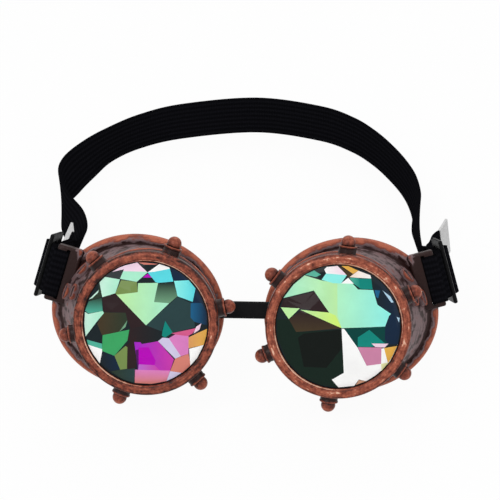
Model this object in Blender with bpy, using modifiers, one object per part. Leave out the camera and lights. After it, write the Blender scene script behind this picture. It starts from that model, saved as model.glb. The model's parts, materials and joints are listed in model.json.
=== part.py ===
"""Costume goggles: two flared eyecups with screw-on, studded lens rings, faceted lenses,
a nose strip and an elastic headband caught by two three-bar slides.

Lengths are in metres and +Z is up. The goggles stand on the lower edges of their back rims
and of their headband, with the lenses towards -Y and leaning back.
"""

import math

import bmesh
import bpy
from mathutils import Matrix, Vector

# Running gap between neighbouring pieces, and how far a cutter passes a wall
GAP = 0.0003
CUT_OVERRUN = 0.002
MERGE_DISTANCE = 0.00001
SHARP_DEG = 35

# Stance
LENS_SPACING = 0.078
LEAN_BACK_DEG = 32

# Lens ring
RING_RADIUS = 0.029
RING_FACE_WIDTH = 0.004
RING_DEPTH = 0.012
RING_WALL = 0.0018
RING_LIP = 0.0026
RING_ROUND = 0.001
RING_BEZEL_DEPTH = 0.0042
RING_STEP = 0.0006

# Thread between ring and barrel
THREAD_PITCH = 0.003
THREAD_HEIGHT = 0.0009
THREAD_CREST = 0.0007
THREAD_ROOT = 0.0013
THREAD_SINK = 0.0004
THREAD_END = 0.0012
THREAD_TURNS = 1
THREAD_RUN_OUT_DEG = 20

# Studs and the bosses that hold them
STUDS = 6
STUD_BALL_RADIUS = 0.00295
STUD_BALL_STAND = 0.0021
STUD_PIN_RADIUS = 0.0012
STUD_PIN_LENGTH = 0.0034
STUD_DEPTH = 0.0078
BOSS_BASE_RADIUS = 0.0039
BOSS_TOP_RADIUS = 0.0029
BOSS_LENGTH = 0.0026
LEFT_RING_TURN_DEG = 11
RIGHT_RING_TURN_DEG = 24

# Lens and gasket
LENS_CLEARANCE = 0.0007
LENS_EDGE = 0.0022
CROWN_CLEARANCE = 0.0006
CROWN_SHOULDER = 0.0019
CROWN_HEIGHT = 0.0063
CROWN_SIDES = 16
GASKET_THICKNESS = 0.0012
GASKET_WIDTH = 0.0022

# Eyecup
BARREL_WALL = 0.002
BARREL_CHAMFER = 0.0004
COLLAR_STEP = 0.0002
COLLAR_DEPTH = 0.0016
WALL = 0.002
WALL_STEP = 0.0009
RIM_WIDTH_FLARE = 0.0074
RIM_HEIGHT_FLARE = 0.0035
RIM_OFFSET = 0.0057
RIM_DEPTH = 0.0315
RIM_CURVE = 0.0032
LIP_RADIUS = 0.0023
LIP_START_DEG = 115
LIP_END_DEG = -205
WALL_RECESS = 0.0016
WALL_FLARE = 0.85

# Blind temple vents: angle round the cup in degrees and share of the wall's length
VENT_SHARES = ((19, 0.3), (38, 0.5), (17, 0.66))
VENT_HALF_LENGTH = 0.0035
VENT_HALF_WIDTH = 0.002
VENT_LIP = 0.0008
VENT_STAND = 0.001
VENT_FLOOR = 0.0002

# Strap lug
LUG_STAND = 0.0006
LUG_HEIGHT = 0.015
LUG_TURN_DEG = 16
LUG_FRONT = 0.0295
LUG_THICKNESS = 0.0045
LUG_SLOT_WIDTH = 0.002
LUG_BAR = 0.004
LUG_END = 0.0014
BAR_SETBACK = 0.0002
LUG_ROOT = 0.0045
LUG_ROUND = 0.0008

# Elastic
STRAP_WIDTH = 0.020
STRAP_THICKNESS = 0.001
STRAP_SIDE_CLEARANCE = 0.0007

# Three-bar slide
SLIDE_BAR = 0.0028
SLIDE_CENTRE_BAR = 0.0022
SLIDE_SLOT = 0.0038
SLIDE_THICKNESS = 0.0018
SLIDE_END = 0.003
SLIDE_ROUND = 0.0007
SLIDE_TRAVEL = 0.006
SLIDE_OUT = 0.008
SLIDE_BEHIND_LUG = 0.0115
SLIDE_TOE_DEG = 9.5

# Free end of the elastic and its end piece
LEFT_TAIL_OUT = 0.003
RIGHT_TAIL_OUT = 0.0075
LEFT_TAIL_BACK = 0.012
RIGHT_TAIL_BACK = 0.012
LEFT_TAIL_LIFT = 0.003
RIGHT_TAIL_LIFT = 0.006
TAIL_STRAIGHT = 0.001
LEFT_TAIL_LEAN_DEG = -3
RIGHT_TAIL_LEAN_DEG = 30
TIP_LENGTH = 0.0075

# Headband run from the slides round the back
BAND_TUCK = 0.0011
BAND_REACH = 0.130
BAND_LEAD = 0.008

# Nose strip
STRIP_WIDTH = 0.007
STRIP_THICKNESS = 0.002
STRIP_HEIGHT = 0.003
STRIP_DEPTH = 0.0205
STRIP_HEAD_WIDTH = 0.010
STRIP_HEAD_THICKNESS = 0.0036
STRIP_HEAD_LENGTH = 0.0022
STRIP_ROUND = 0.0005
STRIP_SLOT_REACH = 0.009

# Facet counts
ROUND_STEPS = 40
SMALL_STEPS = 12
THREAD_STEPS = 36
LIP_STEPS = 5
WALL_STEPS = 5
STUD_STEPS = 5
CURVE_STEPS = 2

# Headband places from a slide to the middle of the back: share of the reach, share of the
# half span on the right and on the left, share of the strap's half width above the table,
# then the lean of its upper edge away from the head in degrees on the right and on the left
BAND_SHARES = (
    (0.13, 0.93, 0.93, 2.1, -17, -22),
    (0.28, 0.935, 0.975, 1.5, -13, -22),
    (0.42, 0.94, 1.06, 1.1, 3, -10),
    (0.54, 0.92, 1.09, 1.02, 4, 6),
    (0.63, 0.875, 1.05, 1.005, 2, 20),
    (0.72, 0.80, 0.965, 1.0, 1, 15),
    (0.81, 0.70, 0.85, 1.0, 0, 0),
    (0.89, 0.57, 0.685, 1.0, 0, -4),
    (0.955, 0.375, 0.44, 1.0, 0, -2),
)

# Crown places as shares of the crown's radius and of its height, from the edge inwards
CROWN_EDGE_SHARE = 0.955
CROWN_MAIN_RADIUS_SHARE = 0.6
CROWN_MAIN_HEIGHT_SHARE = 0.72

# How far the elastic's middle stands off a corner that it turns round, as a share of TURN
CORNER_SHARE = 0.78

# Tail places as shares of its way outwards, back and up
TAIL_SHARES = (
    (0.0, 0.0, 0.0),
    (0.07, 0.25, 0.03),
    (0.27, 0.52, 0.24),
    (0.58, 0.77, 0.64),
    (1.0, 1.0, 1.0),
)

# How far a weaving layer swings past upright, and rises early onto a bar, in shares of TURN
SWING_SHARE = 0.1
EARLY_SHARE = 0.3
LATE_SHARE = 0.9

LEAN = math.radians(LEAN_BACK_DEG)
OPENING_RADIUS = RING_RADIUS - RING_FACE_WIDTH
BORE_RADIUS = RING_RADIUS - RING_WALL
LENS_RADIUS = BORE_RADIUS - LENS_CLEARANCE
BOSS_TOP_DISTANCE = RING_RADIUS + BOSS_LENGTH
STUD_BALL_DISTANCE = BOSS_TOP_DISTANCE + STUD_BALL_STAND
COLLAR_RADIUS = RING_RADIUS + COLLAR_STEP
WALL_FRONT_RADIUS = RING_RADIUS - WALL_STEP
RIM_HALF_WIDTH = RING_RADIUS + RIM_WIDTH_FLARE
RIM_HALF_HEIGHT = RING_RADIUS + RIM_HEIGHT_FLARE
LUG_OFFSET = RIM_HALF_WIDTH + LUG_STAND
BAND_HALF_SPAN = LENS_SPACING / 2 + RIM_OFFSET + RIM_HALF_WIDTH - BAND_TUCK
BARREL_RADIUS = BORE_RADIUS - GAP - THREAD_HEIGHT
LENS_FRONT = RING_LIP + GAP
LENS_BACK = LENS_FRONT + LENS_EDGE
GASKET_FRONT = LENS_BACK + GAP
BARREL_FRONT = GASKET_FRONT + GASKET_THICKNESS + GAP
SHOULDER = RING_DEPTH + GAP
WALL_START = SHOULDER + COLLAR_DEPTH
HALF_CENTRE = SLIDE_CENTRE_BAR / 2
SLOT_EDGE = HALF_CENTRE + SLIDE_SLOT
SLIDE_HALF = SLOT_EDGE + SLIDE_BAR
TURN = GAP + STRAP_THICKNESS / 2
LIFT = SLIDE_THICKNESS / 2 + TURN
LAYER = STRAP_THICKNESS + GAP
BAR_INNER = LUG_SLOT_WIDTH / 2
BAR_OUTER = BAR_INNER + LUG_BAR
LUG_BACK = LUG_FRONT + LUG_THICKNESS
RIM_BACK = RIM_DEPTH + RIM_CURVE + LIP_RADIUS
SLIDE_CENTRE = LUG_BACK + SLIDE_BEHIND_LUG
STRAIGHT_END = SLIDE_HALF + SLIDE_TRAVEL + TAIL_STRAIGHT
SIDES = {"left": -1, "right": 1}
TAIL_OUT = {"left": LEFT_TAIL_OUT, "right": RIGHT_TAIL_OUT}
TAIL_BACK = {"left": LEFT_TAIL_BACK, "right": RIGHT_TAIL_BACK}
TAIL_LIFT = {"left": LEFT_TAIL_LIFT, "right": RIGHT_TAIL_LIFT}
TAIL_LEAN_DEG = {"left": LEFT_TAIL_LEAN_DEG, "right": RIGHT_TAIL_LEAN_DEG}

for old in list(bpy.data.objects):
    bpy.data.objects.remove(old, do_unlink=True)

goggles = bpy.data.collections.new("costume_goggles")
cutters = bpy.data.collections.new("cutters")
bpy.context.scene.collection.children.link(goggles)
bpy.context.scene.collection.children.link(cutters)


def material(name, colour, roughness, metallic=0.0):
    made = bpy.data.materials.new(name)
    made.use_nodes = True
    shader = made.node_tree.nodes["Principled BSDF"]
    shader.inputs["Base Color"].default_value = (*colour, 1.0)
    shader.inputs["Roughness"].default_value = roughness
    shader.inputs["Metallic"].default_value = metallic
    return made


COPPER = material("antique_copper", (0.32, 0.12, 0.07), 0.42, 0.5)
DARK_COPPER = material("shaded_copper", (0.20, 0.10, 0.08), 0.5, 0.4)
CRYSTAL = material("coated_crystal", (0.35, 0.75, 0.60), 0.05)
RUBBER = material("black_rubber", (0.02, 0.02, 0.02), 0.6)
ELASTIC = material("black_elastic", (0.012, 0.012, 0.013), 0.85)
BLACK_PLASTIC = material("black_plastic", (0.02, 0.02, 0.022), 0.4)
GREY_PLASTIC = material("grey_plastic", (0.55, 0.55, 0.56), 0.5)


def add_object(name, mesh, look=None):
    """A finished piece with a material, or a cutter where there is none."""
    made = bpy.data.objects.new(name, mesh)
    if look is None:
        cutters.objects.link(made)
        made.hide_render = True
        made.display_type = "WIRE"
    else:
        goggles.objects.link(made)
        mesh.materials.append(look)
    return made


def mesh_from(bm, name, smooth=True):
    bm.normal_update()
    bmesh.ops.recalc_face_normals(bm, faces=bm.faces)
    mesh = bpy.data.meshes.new(name)
    bm.to_mesh(mesh)
    bm.free()
    if smooth:
        mesh.shade_smooth()
        mesh.set_sharp_from_angle(angle=math.radians(SHARP_DEG))
    return mesh


def loft(name, sections, ring=False, smooth=True):
    """Joins closed sections into a tube: back on itself as a ring, or capped at its ends."""
    bm = bmesh.new()
    rows = [[bm.verts.new(point) for point in section] for section in sections]
    pairs = list(zip(rows, rows[1:]))
    if ring:
        pairs.append((rows[-1], rows[0]))
    for first, second in pairs:
        count = len(first)
        for k in range(count):
            after = (k + 1) % count
            bm.faces.new((first[k], first[after], second[after], second[k]))
    if not ring:
        bm.faces.new(rows[0])
        bm.faces.new(rows[-1])
    return mesh_from(bm, name, smooth)


def turned(name, profile, look=None, closed=True, steps=ROUND_STEPS):
    """Spins a profile of (radius, height) about Z, run down its outer side."""
    bm = bmesh.new()
    verts = [bm.verts.new((radius, 0, height)) for radius, height in profile]
    for first, second in zip(verts, verts[1:]):
        bm.edges.new((first, second))
    if closed:
        bm.edges.new((verts[-1], verts[0]))
    mesh = bpy.data.meshes.new(name)
    bm.to_mesh(mesh)
    bm.free()
    made = add_object(name, mesh, look)
    spin = made.modifiers.new("spin", "SCREW")
    spin.axis = "Z"
    spin.steps = steps
    spin.render_steps = steps
    spin.use_merge_vertices = True
    spin.merge_threshold = MERGE_DISTANCE
    spin.use_smooth_shade = True
    return made


def box(name, low, high, place=Vector, look=None):
    """A box between two corners, each of its points moved by place."""
    bm = bmesh.new()
    bmesh.ops.create_cube(bm, size=1)
    low, high = Vector(low), Vector(high)
    for vert in bm.verts:
        shares = [value + 0.5 for value in vert.co]
        vert.co = place([a + (b - a) * s for a, b, s in zip(low, high, shares)])
    return add_object(name, mesh_from(bm, name, smooth=False), look)


def bevel(target, width, segments=2):
    edge = target.modifiers.new("rounding", "BEVEL")
    edge.width = width
    edge.segments = segments
    edge.limit_method = "ANGLE"
    edge.harden_normals = False


def boolean(target, operation, other):
    step = target.modifiers.new(f"{operation.lower()}_{other.name}", "BOOLEAN")
    step.operation = operation
    step.solver = "EXACT"
    step.object = other


def smooth_path(points, steps=CURVE_STEPS):
    """A smooth curve through points of equal length, as lists of numbers."""
    found = []
    last = len(points) - 1
    for k in range(last):
        before = points[max(k - 1, 0)]
        start, end = points[k], points[k + 1]
        after = points[min(k + 2, last)]
        for step in range(steps):
            t = step / steps
            found.append([
                0.5 * (2 * b + (c - a) * t + (2 * a - 5 * b + 4 * c - d) * t**2
                       + (3 * b - a - 3 * c + d) * t**3)
                for a, b, c, d in zip(before, start, end, after)
            ])
    found.append(list(points[-1]))
    return found


def ribbon(name, centres, uprights, headings, look):
    """A flat strap through centres, as wide as the elastic along its uprights."""
    sections = []
    for centre, upright, heading in zip(centres, uprights, headings):
        normal = upright.cross(heading).normalized()
        across = heading.cross(normal).normalized() * STRAP_WIDTH / 2
        thick = normal * STRAP_THICKNESS / 2
        sections.append([
            centre - across - thick,
            centre + across - thick,
            centre + across + thick,
            centre - across + thick,
        ])
    return add_object(name, loft(name, sections, smooth=False), look)


def headings_along(centres):
    last = len(centres) - 1
    return [
        (centres[min(k + 1, last)] - centres[max(k - 1, 0)]).normalized()
        for k in range(len(centres))
    ]


def helix(name, radius_in, radius_out, crest_outside, start_height, start_angle):
    """A thread ridge about Z, its section a trapezium that fades out at both ends."""
    sections = []
    count = THREAD_STEPS * THREAD_TURNS
    for k in range(count + 1):
        turn = 2 * math.pi * THREAD_TURNS * k / count
        angle = start_angle + turn
        height = start_height + THREAD_PITCH * turn / (2 * math.pi)
        rest = 2 * math.pi * THREAD_TURNS - turn
        fade = min(1, min(turn, rest) / math.radians(THREAD_RUN_OUT_DEG))
        depth = radius_out - radius_in
        if crest_outside:
            root, crest = radius_in, radius_in + THREAD_SINK + (depth - THREAD_SINK) * fade
        else:
            root, crest = radius_out, radius_out - THREAD_SINK - (depth - THREAD_SINK) * fade
        outward = Vector((math.cos(angle), math.sin(angle), 0))
        tall = Vector((0, 0, 1))
        sections.append([
            outward * root + tall * (height - THREAD_ROOT / 2),
            outward * crest + tall * (height - THREAD_CREST / 2),
            outward * crest + tall * (height + THREAD_CREST / 2),
            outward * root + tall * (height + THREAD_ROOT / 2),
        ])
    return add_object(name, loft(name, sections))


def rim_shift(angle):
    """How much further back the rim lies on the temple side."""
    return RIM_CURVE * math.cos(angle)


def cup_point(side, angle, radius, grow, blend, depth):
    """A point between a circle about the lens axis and the back rim's oval."""
    oval_x = RIM_OFFSET + (RIM_HALF_WIDTH + grow) * math.cos(angle)
    oval_y = (RIM_HALF_HEIGHT + grow) * math.sin(angle)
    x = (1 - blend) * radius * math.cos(angle) + blend * oval_x
    y = (1 - blend) * radius * math.sin(angle) + blend * oval_y
    return Vector((side * x, y, -depth - blend * rim_shift(angle)))


def cup_section(side, radius, grow, blend, depth):
    return [
        cup_point(side, 2 * math.pi * k / ROUND_STEPS, radius, grow, blend, depth)
        for k in range(ROUND_STEPS)
    ]


def wall_place(share):
    """The blend and the depth of the wall at a share of its length."""
    end = RIM_DEPTH - LIP_RADIUS
    return share**WALL_FLARE, WALL_START + (end - WALL_START) * share


def lip_sections(side):
    """The rolled back rim, from the wall outside round to the wall inside."""
    sections = []
    start, end = math.radians(LIP_START_DEG), math.radians(LIP_END_DEG)
    for k in range(2 * LIP_STEPS + 1):
        turn = start + (end - start) * k / (2 * LIP_STEPS)
        grow = LIP_RADIUS * (math.cos(turn) - 1)
        depth = RIM_DEPTH - LIP_RADIUS * math.sin(turn)
        sections.append(cup_section(side, 0, grow, 1, depth))
    return sections


def cup_sections(side):
    chamfered = BARREL_RADIUS - BARREL_CHAMFER
    bore = BARREL_RADIUS - BARREL_WALL
    sections = [
        cup_section(side, chamfered, 0, 0, BARREL_FRONT),
        cup_section(side, BARREL_RADIUS, 0, 0, BARREL_FRONT + BARREL_CHAMFER),
        cup_section(side, BARREL_RADIUS, 0, 0, SHOULDER),
        cup_section(side, COLLAR_RADIUS, 0, 0, SHOULDER),
        cup_section(side, COLLAR_RADIUS, 0, 0, WALL_START),
        cup_section(side, WALL_FRONT_RADIUS, 0, 0, WALL_START + BARREL_CHAMFER),
    ]
    outer = -LIP_RADIUS - WALL_RECESS
    for k in range(1, WALL_STEPS):
        blend, depth = wall_place(k / WALL_STEPS)
        sections.append(cup_section(side, WALL_FRONT_RADIUS, outer, blend, depth))
    sections += lip_sections(side)
    inner = -LIP_RADIUS - WALL_RECESS - WALL
    for k in range(WALL_STEPS - 1, 0, -1):
        blend, depth = wall_place(k / WALL_STEPS)
        sections.append(cup_section(side, WALL_FRONT_RADIUS - WALL, inner, blend, depth))
    sections.append(cup_section(side, bore, 0, 0, WALL_START))
    sections.append(cup_section(side, bore, 0, 0, BARREL_FRONT))
    return sections


def leaning_height(point):
    """The height of a point of a cup above its ring's centre, once it leans back."""
    return point.z * math.sin(LEAN) + point.y * math.cos(LEAN)


def lug_place(side):
    """Maps (out from the slot, up along the slot, forward) to the cup's own frame."""
    turn = math.radians(LUG_TURN_DEG)
    out = Vector((side * math.cos(turn), math.sin(turn), 0))
    up = Vector((-side * math.sin(turn), math.cos(turn), 0))
    centre = Vector((side * LUG_OFFSET, LUG_HEIGHT, 0))

    def place(values):
        return centre + out * values[0] + up * values[1] + Vector((0, 0, values[2]))

    return place, up


def slide_place(side):
    """Maps (back along the strap, up along it, out of it) at the slide to the cup's frame."""
    toe = math.radians(SLIDE_TOE_DEG)
    lug, _ = lug_place(side)

    def place(values):
        back, up, out = values
        across = SLIDE_OUT - back * math.sin(toe) + out * math.cos(toe)
        forward = -SLIDE_CENTRE - back * math.cos(toe) - out * math.sin(toe)
        return lug((across, up, forward))

    return place


def ring_profile():
    skirt = RING_RADIUS - RING_STEP
    return [
        (OPENING_RADIUS + RING_ROUND / 2, 0),
        (RING_RADIUS - RING_ROUND, 0),
        (RING_RADIUS, -RING_ROUND),
        (RING_RADIUS, -RING_BEZEL_DEPTH),
        (skirt, -RING_BEZEL_DEPTH - RING_STEP),
        (skirt, -RING_DEPTH),
        (BORE_RADIUS, -RING_DEPTH),
        (BORE_RADIUS, -RING_LIP),
        (OPENING_RADIUS, -RING_LIP),
        (OPENING_RADIUS, -RING_ROUND / 2),
    ]


def radial(made, angle):
    """Turns a shape that points up Z so that it points out of the ring at an angle."""
    made.location = (0, 0, -STUD_DEPTH)
    made.rotation_euler = (0, math.pi / 2, angle)


def cylinder(name, low_radius, high_radius, low, high, steps=SMALL_STEPS):
    bm = bmesh.new()
    bmesh.ops.create_cone(bm, cap_ends=True, segments=steps, radius1=low_radius,
                          radius2=high_radius, depth=high - low)
    bmesh.ops.translate(bm, verts=bm.verts, vec=(0, 0, (low + high) / 2))
    return add_object(name, mesh_from(bm, name))


def lens_ring(side_name, frame, first_angle):
    name = f"{side_name}_lens_ring"
    made = turned(name, ring_profile(), COPPER)
    crest = BARREL_RADIUS + GAP
    ridge = helix(f"{name}_thread", crest, BORE_RADIUS + THREAD_SINK, False,
                  thread_start() + THREAD_PITCH / 2 - THREAD_PITCH * ring_thread_lag(),
                  -2 * math.pi * ring_thread_lag())
    ridge.parent = frame
    boolean(made, "UNION", ridge)
    for k in range(STUDS):
        angle = first_angle + 2 * math.pi * k / STUDS
        base = BORE_RADIUS + GAP
        boss = cylinder(f"{name}_boss_{k + 1}", BOSS_BASE_RADIUS, BOSS_TOP_RADIUS, base,
                        BOSS_TOP_DISTANCE)
        radial(boss, angle)
        boss.parent = frame
        boolean(made, "UNION", boss)
    for k in range(STUDS):
        angle = first_angle + 2 * math.pi * k / STUDS
        hole = cylinder(f"{name}_hole_{k + 1}", STUD_PIN_RADIUS + GAP, STUD_PIN_RADIUS + GAP,
                        pin_end() - GAP, BOSS_TOP_DISTANCE + CUT_OVERRUN)
        radial(hole, angle)
        hole.parent = frame
        boolean(made, "DIFFERENCE", hole)
    return made


def thread_start():
    """The height of the barrel thread's lower end."""
    return -SHOULDER + THREAD_END


def ring_thread_lag():
    """The share of a turn by which the ring's thread starts before the barrel's."""
    return 0.5 + THREAD_SINK / THREAD_PITCH / 2


def pin_end():
    return BOSS_TOP_DISTANCE + GAP - STUD_PIN_LENGTH


def stud_profile():
    seat = BOSS_TOP_DISTANCE + GAP
    cut = math.asin((STUD_BALL_DISTANCE - seat) / STUD_BALL_RADIUS)
    points = [(0, STUD_BALL_DISTANCE + STUD_BALL_RADIUS)]
    for k in range(1, STUD_STEPS + 1):
        turn = math.pi / 2 - (math.pi / 2 + cut) * k / STUD_STEPS
        points.append((STUD_BALL_RADIUS * math.cos(turn),
                       STUD_BALL_DISTANCE + STUD_BALL_RADIUS * math.sin(turn)))
    return points + [(STUD_PIN_RADIUS, seat), (STUD_PIN_RADIUS, pin_end()), (0, pin_end())]


def lens(side_name, frame):
    """A disc with a faceted crown that comes to a point on the lens axis."""
    name = f"{side_name}_lens"
    made = turned(name, [(0, -LENS_FRONT), (LENS_RADIUS, -LENS_FRONT),
                         (LENS_RADIUS, -LENS_BACK), (0, -LENS_BACK)], CRYSTAL, False)
    made.parent = frame
    reach = OPENING_RADIUS - CROWN_CLEARANCE
    bm = bmesh.new()
    bm.verts.new((0, 0, CROWN_HEIGHT - LENS_FRONT))
    for k in range(CROWN_SIDES):
        angle = 2 * math.pi * k / CROWN_SIDES
        outward = Vector((math.cos(angle), math.sin(angle), 0))
        tall = Vector((0, 0, 1))
        bm.verts.new(outward * reach - tall * (LENS_FRONT + LENS_EDGE / 2))
        bm.verts.new(outward * reach * CROWN_EDGE_SHARE + tall * (CROWN_SHOULDER - LENS_FRONT))
        if k % 2:
            height = CROWN_HEIGHT * CROWN_MAIN_HEIGHT_SHARE - LENS_FRONT
            bm.verts.new(outward * reach * CROWN_MAIN_RADIUS_SHARE + tall * height)
    bmesh.ops.convex_hull(bm, input=bm.verts)
    crown = add_object(f"{name}_crown", mesh_from(bm, f"{name}_crown", smooth=False))
    crown.parent = frame
    boolean(made, "UNION", crown)
    return made


def gasket(side_name, frame):
    outer = LENS_RADIUS
    inner = outer - GASKET_WIDTH
    back = GASKET_FRONT + GASKET_THICKNESS
    made = turned(f"{side_name}_lens_gasket", [(inner, -GASKET_FRONT), (outer, -GASKET_FRONT),
                                               (outer, -back), (inner, -back)], RUBBER)
    made.parent = frame
    return made


def vent_shape(name, side, vent, grow, low, high):
    """An oval plug square to the cup's wall, its long axis round the cup."""
    angle, share = math.radians(vent[0]), vent[1]
    step = 1 / ROUND_STEPS
    outer = -LIP_RADIUS - WALL_RECESS
    blend, depth = wall_place(share)
    centre = cup_point(side, angle, WALL_FRONT_RADIUS, outer, blend, depth)
    ahead = cup_point(side, angle + step, WALL_FRONT_RADIUS, outer, blend, depth)
    blend, depth = wall_place(share + step)
    behind = cup_point(side, angle, WALL_FRONT_RADIUS, outer, blend, depth)
    around = (ahead - centre).normalized()
    normal = around.cross(centre - behind).normalized() * side
    along = normal.cross(around)
    bm = bmesh.new()
    bmesh.ops.create_cone(bm, cap_ends=True, segments=SMALL_STEPS, radius1=1, radius2=1,
                          depth=high - low)
    for vert in bm.verts:
        x, y, z = vert.co
        vert.co = (centre + around * x * (VENT_HALF_LENGTH + grow)
                   + along * y * (VENT_HALF_WIDTH + grow)
                   + normal * (z + (low + high) / 2))
    return add_object(name, mesh_from(bm, name))


def eyecup(side_name, frame):
    side = SIDES[side_name]
    name = f"{side_name}_eyecup"
    made = add_object(name, loft(name, cup_sections(side), ring=True), DARK_COPPER)
    made.parent = frame
    thread = helix(f"{name}_thread", BARREL_RADIUS - THREAD_SINK, BORE_RADIUS - GAP, True,
                   thread_start(), 0)
    place, _ = lug_place(side)
    half = STRAP_WIDTH / 2 + STRAP_SIDE_CLEARANCE
    lug = box(f"{name}_lug", (-BAR_INNER - LUG_ROOT, -half - LUG_END, -LUG_BACK),
              (BAR_OUTER, half + LUG_END, -LUG_FRONT), place)
    bevel(lug, LUG_ROUND)
    slot = box(f"{name}_slot", (-BAR_INNER, -half, -RIM_BACK - CUT_OVERRUN),
               (BAR_INNER, half, -LUG_FRONT + CUT_OVERRUN), place)
    way_out = box(f"{name}_way_out", (0, -half, -RIM_BACK - CUT_OVERRUN),
                  (BAR_OUTER, half, -LUG_BACK + BAR_SETBACK), place)
    boolean(made, "UNION", thread)
    boolean(made, "UNION", lug)
    vents = []
    for k, vent in enumerate(VENT_SHARES):
        lip = vent_shape(f"{name}_vent_lip_{k + 1}", side, vent, 0, -WALL / 2, VENT_STAND)
        vents.append(vent_shape(f"{name}_vent_{k + 1}", side, vent, -VENT_LIP, VENT_FLOOR,
                                VENT_STAND + CUT_OVERRUN))
        lip.parent = frame
        boolean(made, "UNION", lip)
    strip_slot = box(f"{name}_strip_slot", (-side * STRIP_SLOT_REACH, -STRIP_WIDTH / 2 - GAP,
                                            -STRIP_THICKNESS / 2 - GAP),
                     (side * STRIP_SLOT_REACH, STRIP_WIDTH / 2 + GAP,
                      STRIP_THICKNESS / 2 + GAP))
    strip_slot.location = (-side * WALL_FRONT_RADIUS, STRIP_HEIGHT, -STRIP_DEPTH)
    for cutter in (slot, way_out, strip_slot, *vents):
        boolean(made, "DIFFERENCE", cutter)
    for helper in (thread, lug, slot, way_out, strip_slot, *vents):
        helper.parent = frame
    return made


def three_bar_slide(side_name, frame):
    name = f"{side_name}_slide"
    place = slide_place(SIDES[side_name])
    half = STRAP_WIDTH / 2 + STRAP_SIDE_CLEARANCE
    thick = SLIDE_THICKNESS / 2
    made = box(name, (-SLIDE_HALF, -half - SLIDE_END, -thick),
               (SLIDE_HALF, half + SLIDE_END, thick), place, BLACK_PLASTIC)
    made.parent = frame
    bevel(made, SLIDE_ROUND)
    for label, low, high in (("front", -SLOT_EDGE, -HALF_CENTRE),
                             ("rear", HALF_CENTRE, SLOT_EDGE)):
        slot = box(f"{name}_{label}_slot", (low, -half, -thick - CUT_OVERRUN),
                   (high, half, thick + CUT_OVERRUN), place)
        slot.parent = frame
        boolean(made, "DIFFERENCE", slot)
    return made


def weave(level):
    """One layer's way through the slide, front to back, as (back, out) places.

    Level 0 is the layer that lies on the outer bars and 1 the one that lies on the
    centre bar.
    """
    under = -LIFT - LAYER * level
    over = LIFT + LAYER * (1 - level)
    front = -SLOT_EDGE + TURN if level == 0 else -HALF_CENTRE - TURN
    lower = -SLOT_EDGE if level == 0 else -SLOT_EDGE + TURN
    upper = -HALF_CENTRE - TURN * level
    half = [
        (-SLIDE_HALF - TURN, under),
        (lower, under),
        (front - TURN * SWING_SHARE, under / 2),
        (front, 0),
        (front + TURN * SWING_SHARE, over / 2),
        (upper + TURN * (level * LATE_SHARE - (1 - level) * EARLY_SHARE), over),
    ]
    return half + [(-back, out) for back, out in reversed(half)]


def strap_end(side_name, frame):
    """The elastic from behind the slide, through it, round the lug and back to its end."""
    side = SIDES[side_name]
    lug, up = lug_place(side)
    slide = slide_place(side)
    run = [slide((STRAIGHT_END, 0, -LIFT - LAYER))]
    run += [slide((back, 0, out)) for back, out in reversed(weave(1))]
    inner, outer = BAR_INNER - TURN, BAR_OUTER + TURN
    corner = TURN * CORNER_SHARE
    run += [
        lug((BAR_INNER - corner, 0, -LUG_BACK - corner)),
        lug((inner, 0, -LUG_BACK + corner)),
        lug((inner, 0, -LUG_FRONT)),
        lug((BAR_INNER - corner, 0, -LUG_FRONT + corner)),
        lug((BAR_INNER, 0, -LUG_FRONT + TURN)),
        lug((BAR_OUTER, 0, -LUG_FRONT + TURN)),
        lug((BAR_OUTER + corner, 0, -LUG_FRONT + corner)),
        lug((outer, 0, -LUG_FRONT)),
        lug((outer, 0, -LUG_BACK)),
    ]
    run += [slide((back, 0, out)) for back, out in weave(0)]
    tail = [
        slide((STRAIGHT_END + back * TAIL_BACK[side_name], lift * TAIL_LIFT[side_name],
               -LIFT + out * TAIL_OUT[side_name]))
        for out, back, lift in TAIL_SHARES
    ]
    outward = slide((0, 0, 1)) - slide((0, 0, 0))
    uprights = [up] * len(run)
    for _, _, lift in TAIL_SHARES:
        lean = math.radians(TAIL_LEAN_DEG[side_name] * lift)
        uprights.append(up * math.cos(lean) + outward * math.sin(lean))
    centres = [Vector(point) for point in smooth_path(run + tail)]
    uprights = [Vector(upright) for upright in smooth_path(uprights)]
    headings = headings_along(centres)
    end, heading = centres[-1], headings[-1]
    tip_centres = [end + heading * GAP, end + heading * (GAP + TIP_LENGTH)]
    made = ribbon(f"{side_name}_strap_end", centres, uprights, headings, ELASTIC)
    made.parent = frame
    tip = ribbon(f"{side_name}_strap_tip", tip_centres, uprights[-1:] * 2, [heading] * 2,
                 GREY_PLASTIC)
    tip.parent = frame
    return made


def band_start(side_name, frame_matrix):
    """The centre, the upright and the heading of the elastic where the headband starts."""
    side = SIDES[side_name]
    slide = slide_place(side)
    _, up = lug_place(side)
    ahead = slide((STRAIGHT_END + GAP, 0, -LIFT - LAYER))
    behind = slide((STRAIGHT_END, 0, -LIFT - LAYER))
    turn = frame_matrix.to_3x3()
    return frame_matrix @ ahead, turn @ up, turn @ (ahead - behind).normalized()


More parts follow.
